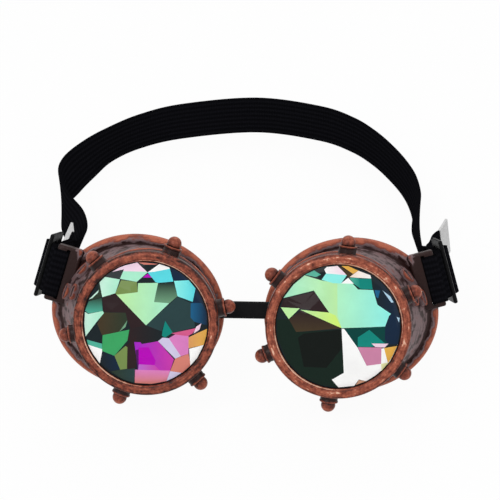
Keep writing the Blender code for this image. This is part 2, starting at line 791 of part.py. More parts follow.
def headband(frames):
    """The long rear run, from the right strap end round the back to the left one."""
    points, uprights = [], []
    starts = {name: band_start(name, matrix) for name, matrix in frames.items()}
    for name in ("right", "left"):
        side = SIDES[name]
        centre, upright, heading = starts[name]
        places = [(centre, upright)]
        places.append((centre + heading * BAND_LEAD, upright))
        for reach, right_span, left_span, height, right_lean, left_lean in BAND_SHARES:
            span = right_span if side > 0 else left_span
            lean = math.radians(right_lean if side > 0 else left_lean)
            places.append((
                Vector((side * span * BAND_HALF_SPAN, centre.y + reach * BAND_REACH,
                        height * STRAP_WIDTH / 2)),
                Vector((side * math.sin(lean), 0, math.cos(lean))),
            ))
        if name == "right":
            places.append((Vector((0, centre.y + BAND_REACH, STRAP_WIDTH / 2)),
                           Vector((0, 0, 1))))
        else:
            places.reverse()
        points += [place[0] for place in places]
        uprights += [place[1] for place in places]
    centres = [Vector(point) for point in smooth_path(points)]
    across = [Vector(upright).normalized() for upright in smooth_path(uprights)]
    headings = headings_along(centres)
    headings[0] = starts["right"][2]
    headings[-1] = -starts["left"][2]
    return ribbon("headband", centres, across, headings, ELASTIC)


def nose_strip(height_above_table, forward):
    """A flat strip through both nose slots, with a head inside each cup."""
    half = LENS_SPACING / 2 - strip_wall_reach()
    end = half + WALL + 2 * GAP + WALL_RECESS
    made = box("nose_bridge", (-end - GAP, -STRIP_WIDTH / 2, -STRIP_THICKNESS / 2),
               (end + GAP, STRIP_WIDTH / 2, STRIP_THICKNESS / 2), look=RUBBER)
    made.location = (0, forward, height_above_table)
    made.rotation_euler = (math.pi / 2 - LEAN, 0, 0)
    made.location += made.rotation_euler.to_matrix() @ Vector((0, STRIP_HEIGHT, -STRIP_DEPTH))
    for side in SIDES.values():
        near, far = sorted((side * end, side * (end + STRIP_HEAD_LENGTH)))
        head = box(f"nose_bridge_head_{side}", (near, -STRIP_HEAD_WIDTH / 2,
                                                -STRIP_HEAD_THICKNESS / 2),
                   (far, STRIP_HEAD_WIDTH / 2, STRIP_HEAD_THICKNESS / 2))
        head.location = made.location
        head.rotation_euler = made.rotation_euler
        boolean(made, "UNION", head)
    bevel(made, STRIP_ROUND, 1)
    return made


def strip_wall_reach():
    """How far the cup's wall lies from the lens axis where the nose strip enters."""
    end = RIM_DEPTH - LIP_RADIUS
    share = (STRIP_DEPTH - WALL_START) / (end - WALL_START)
    blend, depth = wall_place(share)
    outer = -LIP_RADIUS - WALL_RECESS
    return -cup_point(1, math.pi, WALL_FRONT_RADIUS, outer, blend, depth).x


def settle():
    """Centre the object sideways over the origin, with its lowest point at zero."""
    points = []
    for piece in goggles.objects:
        if piece.type == "MESH":
            place = piece.parent.matrix_basis if piece.parent else Matrix()
            place = place @ piece.matrix_basis
            points += [place @ vert.co for vert in piece.data.vertices]
    across, _, heights = zip(*points)
    shift = Vector((-(min(across) + max(across)) / 2, 0, -min(heights)))
    for piece in bpy.data.objects:
        if piece.parent is None:
            piece.location += shift


def build():
    lowest = min(leaning_height(point) for row in cup_sections(1) for point in row)
    rise = -lowest
    front = -max(radius * math.sin(LEAN) + height * math.cos(LEAN)
                 for radius, height in ring_profile())
    turn = Matrix.Rotation(math.pi / 2 - LEAN, 4, "X")
    reach = (turn @ band_start("right", Matrix())[0]).y + BAND_REACH + STRAP_THICKNESS / 2
    forward = -(front + reach) / 2
    matrices = {}
    first_angles = {"left": LEFT_RING_TURN_DEG, "right": RIGHT_RING_TURN_DEG}
    for side_name, side in SIDES.items():
        frame = bpy.data.objects.new(f"{side_name}_cup_frame", None)
        goggles.objects.link(frame)
        frame.location = (side * LENS_SPACING / 2, forward, rise)
        frame.rotation_euler = (math.pi / 2 - LEAN, 0, 0)
        matrices[side_name] = Matrix.Translation(frame.location) @ turn
        eyecup(side_name, frame)
        first = math.radians(first_angles[side_name])
        ring = lens_ring(side_name, frame, first)
        ring.parent = frame
        for k in range(STUDS):
            stud = turned(f"{side_name}_stud_{k + 1}", stud_profile(), COPPER, False,
                          SMALL_STEPS)
            radial(stud, first + 2 * math.pi * k / STUDS)
            stud.parent = frame
        lens(side_name, frame)
        gasket(side_name, frame)
        three_bar_slide(side_name, frame)
        strap_end(side_name, frame)
    headband(matrices)
    nose_strip(rise, forward)
    settle()


build()
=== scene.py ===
"""Dresses a packed pair of costume goggles: copper cups and rings, cut lenses and elastic.

Lengths are in metres. A cup's own frame has its origin at the middle of the lens ring's face,
X across the face, Y up it and Z out along the lens axis.
"""

import json
import math

import bmesh
import bpy
from bpy.props import FloatProperty, FloatVectorProperty, IntProperty, PointerProperty
from mathutils import Matrix, Vector
from mathutils.geometry import tessellate_polygon
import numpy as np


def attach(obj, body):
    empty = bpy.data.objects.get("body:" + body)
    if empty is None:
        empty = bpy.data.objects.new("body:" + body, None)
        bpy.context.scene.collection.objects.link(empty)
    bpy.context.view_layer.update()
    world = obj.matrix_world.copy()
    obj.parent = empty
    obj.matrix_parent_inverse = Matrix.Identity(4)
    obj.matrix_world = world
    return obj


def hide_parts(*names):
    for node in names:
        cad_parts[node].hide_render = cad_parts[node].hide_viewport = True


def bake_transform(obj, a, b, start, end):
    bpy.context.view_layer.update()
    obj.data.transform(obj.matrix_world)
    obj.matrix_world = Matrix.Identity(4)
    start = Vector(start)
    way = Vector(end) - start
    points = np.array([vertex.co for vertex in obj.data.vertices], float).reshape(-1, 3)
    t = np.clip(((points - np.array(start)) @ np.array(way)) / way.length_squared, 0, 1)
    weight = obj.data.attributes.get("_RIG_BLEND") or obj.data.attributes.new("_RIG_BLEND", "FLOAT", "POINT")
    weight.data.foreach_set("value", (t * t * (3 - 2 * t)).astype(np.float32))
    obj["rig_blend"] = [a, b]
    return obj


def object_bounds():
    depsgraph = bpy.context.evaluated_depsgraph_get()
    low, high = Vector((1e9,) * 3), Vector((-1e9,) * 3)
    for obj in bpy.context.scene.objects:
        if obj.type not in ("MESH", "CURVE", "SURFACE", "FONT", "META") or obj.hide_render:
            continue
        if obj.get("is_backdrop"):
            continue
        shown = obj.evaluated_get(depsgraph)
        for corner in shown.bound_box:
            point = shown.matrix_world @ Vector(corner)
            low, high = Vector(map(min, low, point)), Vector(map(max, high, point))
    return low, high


bl_info = {
    "name": "Costume goggles",
    "version": (1, 0, 0),
    "blender": (4, 5, 0),
    "location": "3D View > Sidebar > Goggles",
    "description": "Builds studded screw-front goggles with cut lenses on their CAD frame",
    "category": "Object",
}

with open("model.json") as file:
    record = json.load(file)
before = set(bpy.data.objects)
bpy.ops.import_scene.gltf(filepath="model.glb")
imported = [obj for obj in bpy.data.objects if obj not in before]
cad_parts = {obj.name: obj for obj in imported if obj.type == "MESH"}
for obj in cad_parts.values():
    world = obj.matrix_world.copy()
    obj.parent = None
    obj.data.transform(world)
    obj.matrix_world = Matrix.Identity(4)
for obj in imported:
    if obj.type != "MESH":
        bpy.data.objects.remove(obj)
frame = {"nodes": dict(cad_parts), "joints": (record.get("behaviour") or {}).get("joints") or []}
CAD_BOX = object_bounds()
SIDES = {"left": -1, "right": 1}
GAP = 0.0003
SMOOTH_DEG = 34
MERGE_DISTANCE = 0.000002

# Stance
LEAN_BACK_DEG = 32
RING_TURN_DEG = {"left": 11, "right": 24}

# Lens ring, from its inner lip over its face, down its skirt and up its bore: radius, height
OPENING_RADIUS = 0.0254
RING_STEPS = 144
RING_PROFILE = (
    (OPENING_RADIUS, -0.0026), (OPENING_RADIUS, -0.0013), (0.02546, -0.0009),
    (0.02582, -0.0004), (0.02618, -0.0001), (0.0266, 0), (0.0278, -0.00002),
    (0.0285, -0.0001), (0.0291, -0.00032), (0.02942, -0.00066), (0.0296, -0.0012),
    (0.0296, -0.0036), (0.02945, -0.0040), (0.0289, -0.00436), (0.0286, -0.0048),
    (0.0285, -0.0052), (0.0285, -0.0110), (0.0287, -0.0113), (0.0287, -0.012),
    (0.0272, -0.012), (0.0272, -0.0026),
)

# Where the ring's zones end, as heights or radii, and how rubbed each zone is, with painted light and shade
# on the face, shoulder and lip
SKIRT_TOP = -0.0046
RING_SHOULDER_TOP = -0.0018
RING_LIP_START = 0.0256
RING_LIP_END = 0.026
FACE_RADII = (0.0264, 0.029)
SKIRT_WEAR = 0.3
# The rounded face is painted brighter along its middle as a highlight, and darker on its edges and shoulder
# as shade, besides its wear
RING_SHOULDER_WEAR_AND_SHADE = 0.22
FACE_WEAR_AND_HIGHLIGHT = 0.6
FACE_EDGE_WEAR_AND_SHADE = 0.3
RING_LIP_WEAR = 0.4
# The lip's painted highlight, brightest at LIT_LIP_DEG round the ring and on the opposite side
LIP_HIGHLIGHT = 1.3
LIT_LIP_DEG = 225
# Each ring's whole colour shifted: the left one painted darker as shade, the right one lighter as light
RING_LIGHT_SHIFT = {"left": -0.1, "right": 0.08}

# Ball-headed stud
STUDS = 6
STUD_DEPTH = 0.0078
BALL_RADIUS = 0.00295
BALL_DISTANCE = 0.0337
BALL_WEAR = 0.36
BALL_TOP_WEAR = 0.4
PIN_RADIUS = 0.0012
PIN_FROM = 0.0285

# Conical boss under a stud, from its base over its collar and down its hole: radius, height
BOSS_BASE_RADIUS = 0.0039
BOSS_TOP_RADIUS = 0.0036
BOSS_FROM = 0.0275
BOSS_TO = 0.0316
BOSS_COLLAR = 0.0325
BOSS_COLLAR_RADIUS = 0.0038
BOSS_EDGE = 0.0002
BOSS_NECK = 0.0006
BOSS_WAIST = 0.0019
BOSS_PLAY = 0.0001
BOSS_LEDGE = 0.0005
BOSS_LIT = 0.0003
BOSS_GROOVE = 0.0009
BOSS_MOUTH_RADIUS = BALL_RADIUS - BOSS_PLAY
BOSS_SEAT_RADIUS = BOSS_MOUTH_RADIUS - BOSS_LEDGE
BOSS_HOLE_RADIUS = PIN_RADIUS + BOSS_PLAY
BOSS_PROFILE = (
    (BOSS_BASE_RADIUS, BOSS_FROM), (BOSS_BASE_RADIUS - BOSS_EDGE, BOSS_FROM + BOSS_WAIST),
    (BOSS_TOP_RADIUS, BOSS_TO - BOSS_NECK), (BOSS_TOP_RADIUS, BOSS_TO - BOSS_EDGE),
    (BOSS_COLLAR_RADIUS, BOSS_TO + BOSS_EDGE), (BOSS_COLLAR_RADIUS, BOSS_COLLAR - BOSS_EDGE),
    (BOSS_COLLAR_RADIUS - BOSS_EDGE, BOSS_COLLAR), (BOSS_MOUTH_RADIUS, BOSS_COLLAR - BOSS_PLAY),
    (BOSS_SEAT_RADIUS, BOSS_TO), (BOSS_HOLE_RADIUS, BOSS_TO),
    (BOSS_HOLE_RADIUS, BOSS_TO - BOSS_NECK),
)

# Height above which each zone of a boss starts, from the top, and how rubbed it is
BOSS_WEAR = (
    (BOSS_COLLAR - BOSS_LIT, 0.6), (BOSS_TO, 0.2), (BOSS_TO - BOSS_GROOVE, -0.1), (0, 0.08),
)

# Crown of the lens: count, radius, height and first angle of each row of corners
CROWN_ROWS = (
    (64, 0.02525, -0.0012, 0),
    (16, 0.0237, -0.0005, 0),
    (8, 0.01464, 0.001636, 22.5),
)
CROWN_TOP = 0.0034
CROWN_TIP_RADIUS = 0.002
CROWN_TIP_HEIGHT = 0.0004
CROWN_BACK_NORMAL = 0.1
SIDE_TOLERANCE = 0.0000000001
BEND_TOLERANCE = 0.000000001
CUT_THRESHOLD = 0.000001
LENS_RADIUS = 0.0265
LENS_FRONT = 0.0029
LENS_BACK = 0.0051

# Eyecup
BARREL_FRONT = 0.0069
BARREL_RADIUS = 0.026
BARREL_BORE = 0.024
CHAMFER = 0.0004
SHOULDER = 0.0123
COLLAR_RADIUS = 0.0292
WALL_START = 0.0139
WALL_FRONT_RADIUS = 0.0281
WALL = 0.002
WALL_RECESS = 0.0016
WALL_FLARE = 0.85
WALL_STEPS = 14
CUP_STEPS = 128
THREAD_PITCH = 0.003
THREAD_HEIGHT = 0.0007
THREAD_ROOT = 0.0004
THREAD_LEAD = 0.0012
THREAD_START = THREAD_LEAD - SHOULDER
CREST_SHARE = 0.5

# Front of a cup, from the barrel to the wall: radius, depth and how rubbed it is
CUP_FRONT = (
    (BARREL_RADIUS - CHAMFER, BARREL_FRONT, 0.5), (BARREL_RADIUS, BARREL_FRONT + CHAMFER, 0.5),
    (BARREL_RADIUS, SHOULDER, 0.4), (COLLAR_RADIUS - CHAMFER, SHOULDER, 0.75),
    (COLLAR_RADIUS, SHOULDER + CHAMFER, 0.95), (COLLAR_RADIUS, WALL_START - CHAMFER, 0.85),
    (COLLAR_RADIUS - CHAMFER, WALL_START, 0.5), (WALL_FRONT_RADIUS, WALL_START + CHAMFER, 0.05),
)

# How rubbed a cup's wall, rim and inside are, and the painted shade in the groove at the rim's foot
WALL_WEAR = 0.26
GROOVE_SHADE = -0.4
GROOVE_SHARE = 0.86
RIM_SHADE_WEAR = 0.15
LIT_RIM_WEAR = 0.85
LIT_RIM_DEG = 20
INSIDE_WEAR = 0.15
BORE_WEARS = (0.2, 0.4)

# Oval back rim and its rolled lip
RIM_HALF_WIDTH = 0.0364
RIM_HALF_HEIGHT = 0.0325
RIM_OFFSET = 0.0057
RIM_DEPTH = 0.0315
RIM_CURVE = 0.0032
LIP_RADIUS = 0.0023
LIP_TURN_DEG = (115, -205)
LIP_STEPS = 22

# Raised temple vents: angle round the cup in degrees, share of the wall's length
VENT_SHARES = ((19, 0.3), (38, 0.5), (17, 0.66))
VENT_HALF_LENGTH = 0.0035
VENT_HALF_WIDTH = 0.002
VENT_STAND = 0.001
VENT_LIP = 0.0007
VENT_BEVEL = 0.0002
VENT_SINK = 0.0005
VENT_RISE = 0.00012
VENT_INSET = 0.0004
VENT_STEPS = 40
VENT_TOP_NORMAL = 0.9
VENT_LIP_SHARE = 0.62
VENT_LIP_WEAR = 0.66
VENT_WEAR = 0.12

# Strap lug
LUG_OFFSET = 0.037
LUG_HEIGHT = 0.015
LUG_TURN_DEG = 16
LUG_FRONT = 0.0295
LUG_BACK = 0.034
LUG_ROOT = 0.0045
LUG_END = 0.0014
LUG_ROUND = 0.0009
BAR_INNER = 0.001
BAR_OUTER = 0.005
BAR_SETBACK = 0.0002
# Painted shade on the lug, under the strap loop, and on the slots' cut faces
LUG_SHADE = -0.9
SLOT_ROOT = 0.00045
SLOT_AHEAD = 0.002
SIDE_CLEARANCE = 0.0007

# Nose strip's slot
STRIP_HEIGHT = 0.003
STRIP_DEPTH = 0.0205
STRIP_HALF_WIDTH = 0.0038
STRIP_HALF_THICKNESS = 0.0013
STRIP_REACH = 0.009

# Elastic through the three-bar slide
STRAP_WIDTH = 0.020
STRAP_THICKNESS = 0.001
STRAP_ROUND = 0.0003
STRAP_EDGE_DEG = 60
STRAP_SMOOTH_DEG = 50
STRAP_ACROSS = 20
STRAP_STEPS = 8
SLIDE_CENTRE = 0.0455
SLIDE_OUT = 0.008
SLIDE_TOE_DEG = 9.5
SLIDE_HALF = 0.0077
SLOT_EDGE = 0.0049
HALF_CENTRE = 0.0011
TURN = 0.0008
LIFT = 0.0017
LAYER = 0.0013
STRAIGHT_END = 0.0147
CORNER_SHARE = 0.78
SWING_SHARE = 0.1
EARLY_SHARE = 0.3
LATE_SHARE = 0.9

# Way of a free end behind its slide: out, back, up, and its lean in degrees
TAIL_WAYS = {"left": (0.003, 0.012, 0.003, -3), "right": (0.0075, 0.012, 0.006, 30)}
TAIL_SHARES = ((0, 0, 0), (0.07, 0.25, 0.03), (0.27, 0.52, 0.24), (0.58, 0.77, 0.64), (1, 1, 1))
BAND_HALF_SPAN = 0.080
BAND_REACH = 0.130
BAND_LEAD = 0.008
BAND_STEPS = 10

# Share of the reach, of the half span right and left, of the half width up, lean right, left
BAND_SHARES = (
    (0.13, 0.93, 0.93, 2.1, -17, -22),
    (0.28, 0.935, 0.975, 1.5, -13, -22),
    (0.42, 0.94, 1.06, 1.1, 3, -10),
    (0.54, 0.92, 1.09, 1.02, 4, 6),
    (0.63, 0.875, 1.05, 1.005, 2, 20),
    (0.72, 0.80, 0.965, 1.0, 1, 15),
    (0.81, 0.70, 0.85, 1.0, 0, 0),
    (0.89, 0.57, 0.685, 1.0, 0, -4),
    (0.955, 0.375, 0.44, 1.0, 0, -2),
)

# Camera, as the object lies in a 500 by 500 picture
CAMERA_DROP_DEG = 40
CAMERA_YAW_DEG = 2.2
CAMERA_ROLL_DEG = -0.45
CAMERA_DISTANCE = 0.915
CAMERA_LENS_MM = 163.08
SENSOR_MM = 36
PICTURE_WIDTH = 500
CAMERA_CLIP = (0.01, 20)
RINGS_MIDDLE_PIXEL = (241.8, 325.6)

# Studio: lamps by name, place, size and power, and what the floor and the background give
LAMPS = (
    ("key", (-0.5, -0.7, 1.1), 0.7, 6.4),
    ("fill", (0.8, -0.5, 0.8), 0.9, 2.4),
    ("back", (0.1, 0.9, 0.9), 0.8, 3.2),
)
LAMP_AIM = (0, -0.04, 0.03)
FLOOR_SIZE = 6
FLOOR_GREY = 0.9
FLOOR_GLOW = 0.95
UNSEEN_WORLD = 0.5

# Finishes: noise scales per metre, and heights and strengths of their bumps
STREAK_RADIUS = 0.006
STREAK_SCALE = 1100
SPECK_RATIO = 2.7
# How far ambient occlusion reaches, and how strongly it darkens the colour in corners as painted shade
SHADE_REACH = 0.0016
SHADE_POWER = 1.3
COPPER_BUMP = (0.00014, 0.6)
ELASTIC_BUMP = (0.0001, 0.35)
PLASTIC_BUMP = (0.00006, 0.4)
RIB_SCALE = 130.0
THREAD_SCALE = 260.0
THREAD_SHARE = 0.4
WEAVE_SHARE = 0.7
FUZZ_SCALE = 1500
CLOUD_SCALE = 160
CLOUD_RANGE = (0.16, 0.92)
BROAD_RATIO = 9
PALE_LIFT = 0.004

# Lens colours by name, as they look on the page, out of 255
# These tints paint what each facet shows: the coating's colour together with reflections, the white facets
# being painted reflection of the white surroundings
TINTS = {
    "white": (255, 255, 254), "night": (26, 36, 40), "navy": (20, 40, 64),
    "dark_teal": (42, 66, 68), "deep_green": (18, 36, 28), "moss_dark": (44, 58, 44),
    "moss": (112, 160, 126), "maroon": (46, 32, 34), "umber": (70, 56, 38),
    "green": (62, 166, 100), "sea": (82, 180, 156), "teal": (16, 136, 124),
    "deep_teal": (4, 66, 62), "mint": (168, 236, 204), "pale_mint": (206, 246, 226),
    "yellow_mint": (192, 240, 166), "lime": (212, 244, 108), "olive": (120, 144, 80),
    "aqua": (144, 243, 235), "cyan": (92, 220, 230), "blue": (30, 96, 138),
    "pale_blue": (180, 216, 238), "violet": (164, 40, 200), "magenta": (184, 4, 186),
    "orchid": (206, 62, 172), "pink": (222, 130, 196), "rose": (214, 92, 140),
    "pale_pink": (244, 214, 232), "lavender": (212, 204, 234), "salmon": (216, 130, 116),
    "orange": (224, 160, 100), "amber": (232, 178, 80), "peach": (246, 222, 204),
    "cream": (226, 226, 168), "tan": (202, 152, 124), "sea_mint": (178, 243, 198),
    "mauve": (186, 110, 206), "plum": (84, 22, 100), "ink": (14, 20, 17),
    "dusk_pink": (206, 134, 168),
}

# Facets of each lens by their corners, in hundredths of the opening's radius, x to the right
# and y up. A later one covers an earlier one. "a>b" runs from the first colour on the left to
# the second on the right, and "a/b" from the first at the top to the second at the bottom.
LEFT_FACET_SHARES = (
    ("dark_teal", ((51, 45), (72, 35), (72, 12), (78, 5), (79, -4), (44, -12), (32, 7), (26, -10),
        (2, 0))),
    ("blue>navy", ((72, 35), (89, 37), (97, 19), (98, -1), (78, 5), (72, 12))),
    ("navy", ((79, 59), (89, 42), (97, 19), (89, 35), (72, 35), (75, 37))),
    ("maroon", ((-69, 42), (-49, 49), (-25, 28), (2, 0), (-23, -6), (-28, 7), (-31, 19),
        (-67, 19))),
    ("umber>moss_dark", ((-67, 18), (-31, 19), (-28, 7), (-41, -12), (-69, -19), (-77, -1))),
    ("maroon>night", ((-24, -6), (2, 0), (27, -10), (26, -23), (0, -29), (-7, -28), (-17, -28),
        (-28, -26))),
    ("moss_dark/sea", ((-97, 19), (-91, 34), (-70, 41), (-68, 20), (-92, 15))),
    ("pale_mint>mint", ((-97, 17), (-92, 14), (-68, 20), (-66, 17), (-78, 2), (-96, -23),
        (-98, -2))),
    ("night", ((-78, 1), (-69, -19), (-69, -32), (-95, -27), (-85, -18), (-92, -19))),
    ("green", ((-68, -19), (-41, -12), (-25, -8), (-28, -26), (-49, -52), (-69, -45))),
    ("moss", ((-28, 7), (-31, -4), (-41, -12))),
    ("white", ((-92, -36), (-69, -42), (-69, -47), (-73, -66), (-84, -51))),
    ("sea", ((-94, -28), (-69, -33), (-69, -42), (-92, -36))),
    ("night>navy", ((-69, -46), (-49, -52), (-40, -74), (-55, -78), (-73, -66))),
    ("olive", ((-49, -52), (-31, -35), (-28, -37), (-29, -73), (-40, -75))),
    ("maroon", ((-31, -35), (-13, -17), (-16, -28), (-11, -46), (-16, -74), (-29, -73),
        (-28, -37))),
    ("violet>orchid", ((-17, -28), (-7, -28), (-5, -31), (21, -26), (46, -56), (40, -75),
        (-11, -74), (-13, -59))),
    ("plum", ((-15, -41), (-10, -40), (-9, -68), (-12, -73))),
    ("magenta", ((-10, -37), (6, -36), (17, -58), (15, -67), (-10, -66))),
    ("mauve>orchid", ((-10, -65), (15, -66), (24, -75), (-11, -74))),
    ("pink/salmon", ((-16, -74), (40, -75), (34, -93), (10, -98), (-17, -97))),
    ("teal", ((32, 7), (44, -12), (32, -20), (27, -17), (28, -9))),
    ("pink", ((38, -21), (48, -15), (69, -17), (69, -47), (57, -51))),
    ("rose", ((42, -13), (82, -5), (75, -14), (68, -18), (48, -15))),
    ("lavender", ((21, -26), (28, -20), (38, -21), (57, -51), (48, -55))),
    ("orange>amber", ((69, -20), (86, -12), (98, -7), (97, -18), (93, -33), (69, -38))),
    ("salmon", ((48, -55), (69, -47), (73, -66), (59, -79), (40, -76))),
    ("white", ((70, -39), (93, -33), (83, -54), (72, -67))),
    ("lavender", ((40, -76), (58, -79), (46, -87), (34, -93))),
    ("moss_dark>dark_teal", ((-55, -79), (-40, -75), (-16, -72), (-18, -97), (-37, -91))),
    ("pale_pink", ((89, 2), (81, -3), (77, -14), (86, -8))),
    ("moss_dark", ((-76, 63), (-69, 43), (-91, 34), (-85, 40), (-75, 53))),
    ("pale_mint", ((-75, 53), (-91, 37), (-85, 40), (-76, 49))),
    ("pale_mint>mint", ((-74, 65), (-65, 74), (-41, 71), (-48, 49), (-69, 42))),
    ("pale_pink", ((-43, 89), (-33, 93), (-35, 87), (-54, 82))),
    ("night", ((-62, 76), (-54, 82), (-35, 87), (-40, 72), (-63, 75))),
    ("pale_pink", ((-36, 84), (-33, 93), (-25, 95), (-14, 98), (2, 84))),
    ("mint", ((-41, 72), (-36, 84), (2, 84), (3, 83), (-14, 68))),
    ("salmon", ((-12, 98), (-1, 98), (20, 96), (12, 95), (-3, 95))),
    ("night", ((-12, 96), (-3, 95), (12, 95), (21, 96), (3, 83))),
    ("white", ((3, 83), (21, 96), (37, 91), (38, 89), (13, 84))),
    ("cyan", ((3, 83), (13, 84), (38, 89), (44, 69), (20, 67), (16, 68))),
    ("magenta", ((3, 81), (10, 75), (-5, 75))),
    ("night", ((-5, 75), (10, 75), (16, 68), (-13, 68))),
    ("navy", ((39, 91), (54, 83), (68, 71), (44, 70))),
    ("aqua>cyan", ((45, 70), (68, 71), (79, 58), (75, 37), (51, 46))),
    ("olive", ((-39, 70), (-14, 68), (-12, 52), (-46, 47), (-48, 49))),
    ("yellow_mint>mint", ((-12, 66), (20, 67), (14, 37), (38, 35), (2, 0), (-46, 47), (-12, 52))),
    ("night/moss", ((20, 67), (44, 68), (51, 46), (38, 35), (14, 37))),
)
RIGHT_FACET_SHARES = (
    ("deep_green", ((-98, 10), (-79, 12), (-67, -8), (4, -1), (10, -72), (-9, -85), (2, -98),
        (-29, -94), (-55, -82), (-80, -58), (-97, -19))),
    ("ink", ((-55, -10), (4, -1), (7, -31), (-18, -65), (-54, -65), (-64, -17))),
    ("maroon/umber", ((-79, 12), (-59, 27), (-30, 14), (5, 1), (-67, -8))),
    ("yellow_mint", ((-92, 30), (-62, 30), (-79, 12))),
    ("maroon", ((-88, 44), (-40, 57), (-15, 25), (-60, 30), (-92, 31))),
    ("mint>yellow_mint", ((-88, 45), (-72, 67), (-55, 82), (-28, 75), (-3, 71), (-2, 22), (5, 1),
        (-15, 25), (-40, 59))),
    ("yellow_mint>lime", ((-61, 28), (-15, 25), (-5, 21), (5, 1))),
    ("sea_mint>aqua", ((-3, 71), (21, 71), (30, 62), (54, 61), (61, 38), (83, 23), (80, 20),
        (74, 3), (5, 1), (-2, 22))),
    ("sea", ((-54, 83), (-40, 90), (-29, 84), (-37, 80))),
    ("night", ((-40, 90), (-24, 92), (-28, 77), (-37, 80), (-29, 84))),
    ("rose", ((-33, 93), (-20, 96), (-24, 92), (-33, 93))),
    ("white>pale_pink", ((-24, 92), (-20, 96), (-3, 98), (12, 84), (-21, 86))),
    ("aqua", ((-28, 76), (-21, 86), (12, 84), (3, 71), (-9, 71))),
    ("white", ((3, 71), (14, 80), (23, 71))),
    ("umber", ((-1, 98), (22, 86), (15, 80))),
    ("amber", ((3, 98), (14, 98), (30, 91), (22, 86))),
    ("peach>white", ((16, 81), (30, 91), (49, 84), (51, 79), (30, 80))),
    ("sea>teal", ((16, 80), (30, 80), (34, 63), (23, 71))),
    ("teal", ((30, 79), (51, 79), (53, 62), (34, 63))),
    ("night>navy", ((50, 82), (68, 72), (86, 48), (97, 18), (83, 23), (61, 38), (54, 61),
        (53, 62))),
    ("blue", ((56, 61), (65, 60), (62, 48), (59, 50))),
    ("pale_blue", ((69, 60), (81, 51), (87, 41), (83, 41))),
    ("deep_teal", ((9, 0), (74, 3), (80, -18), (80, -26), (31, -31))),
    ("teal", ((31, -14), (49, -2), (67, -18), (74, -24), (52, -30), (31, -29))),
    ("navy", ((74, 3), (83, 23), (97, 18), (98, -4), (95, -26), (80, -26), (74, -18))),
    ("pale_blue", ((92, 18), (97, 16), (96, 9))),
    ("white", ((5, 0), (9, 0), (31, -31), (46, -61), (69, -58), (70, -69), (81, -56), (72, -67),
        (61, -77), (46, -87), (34, -84), (27, -95), (2, -98), (-9, -85), (10, -73))),
    ("dusk_pink", ((31, -30), (69, -31), (69, -58), (46, -61))),
    ("pale_pink", ((53, -24), (80, -25), (74, -31), (59, -30))),
    ("white", ((69, -33), (73, -32), (80, -58), (69, -58))),
    ("amber", ((73, -32), (94, -29), (83, -54), (80, -58))),
    ("white", ((94, -29), (95, -27), (86, -48), (78, -60), (83, -54))),
    ("cream", ((69, -58), (81, -56), (70, -70))),
    ("tan", ((34, -85), (46, -87), (29, -94))),
)
FACET_SHARES = {"left": LEFT_FACET_SHARES, "right": RIGHT_FACET_SHARES}


def linear(red, green, blue):
    """A colour out of 255, as it looks on a page, in the linear values that shaders take."""
    return tuple(
        value / 255 / 12.92 if value <= 10 else ((value / 255 + 0.055) / 1.055) ** 2.4
        for value in (red, green, blue)
    )


def length_property(name, description, default, low, high):
    return FloatProperty(name=name, description=description, default=default, min=low, max=high,
                         unit="LENGTH", subtype="DISTANCE")


def colour_property(name, description, *page_colour):
    return FloatVectorProperty(name=name, description=description, default=linear(*page_colour),
                               min=0, max=1, size=3, subtype="COLOR")


class GOGGLES_PG_sizes(bpy.types.PropertyGroup):
    """Sizes of the details that a user would change."""

    strap_width: length_property("Strap width", "Width of the elastic headband",
                                 STRAP_WIDTH, 0.01, 0.03)
    strap_thickness: length_property("Strap thickness", "Thickness of the elastic headband",
                                     STRAP_THICKNESS, 0.0005, 0.002)
    ball_radius: length_property("Stud radius", "Radius of the ball on each stud",
                                 BALL_RADIUS, 0.002, 0.003)
    vent_stand: length_property("Vent height", "How far the vents stand off the cup's wall",
                                VENT_STAND, 0.0003, 0.0015)
    cup_steps: IntProperty(name="Cup steps", description="Faces round an eyecup",
                           default=CUP_STEPS, min=32, max=256)


class GOGGLES_PG_colours(bpy.types.PropertyGroup):
    """Colours of the finishes."""

    copper_worn: colour_property("Worn copper", "Copper on rubbed edges", 176, 98, 74)
    copper_face: colour_property("Copper face", "Copper on open faces", 122, 60, 45)
    copper_shade: colour_property("Copper shade", "Copper in hollows", 40, 21, 19)
    # The top of the copper ramp, which the painted highlight along the lens ring's lip reaches
    copper_bare_and_highlight: colour_property("Bare copper", "Copper on the sharpest lips", 230, 184, 158)
    cup_wall: colour_property("Cup wall", "Dusty wall of an eyecup", 120, 99, 101)
    cup_wall_dark: colour_property("Cup wall shade", "Darker patches of the wall", 54, 36, 36)
    elastic: colour_property("Elastic", "Threads of the headband", 12, 12, 15)
    elastic_rib: colour_property("Elastic ribs", "Lit ribs of the headband", 27, 27, 32)
    plastic: colour_property("Slide plastic", "Black plastic of the slides", 11, 11, 12)
    rubber: colour_property("Rubber", "Nose strip and gaskets", 15, 15, 17)
    end_piece: colour_property("End piece", "Grey end pieces of the strap", 202, 202, 202)


def sizes():
    """The sizes as the user has set them."""
    return bpy.context.scene.goggles_sizes


def colours():
    """The colours as the user has set them."""
    return bpy.context.scene.goggles_colours


def cup_frame(side_name):
    """The place of a cup's own frame, whose origin the ring turns about."""
    for joint in frame["joints"]:
        if joint["name"] == f"{side_name}_ring_turn":
            lean = math.pi / 2 - math.radians(LEAN_BACK_DEG)
            return Matrix.Translation(joint["pos_m"]) @ Matrix.Rotation(lean, 4, "X")
    raise RuntimeError(f"no joint turns the {side_name} ring")


def begin(name, add, **how):
    """Adds a primitive, alone in the selection, and opens it for shaping."""
    bpy.ops.object.select_all(action="DESELECT")
    add(**how)
    made = bpy.context.object
    made.name = made.data.name = name
    bpy.ops.object.mode_set(mode="EDIT")
    bpy.ops.mesh.select_mode(type="VERT")
    bpy.ops.mesh.select_all(action="SELECT")
    return made


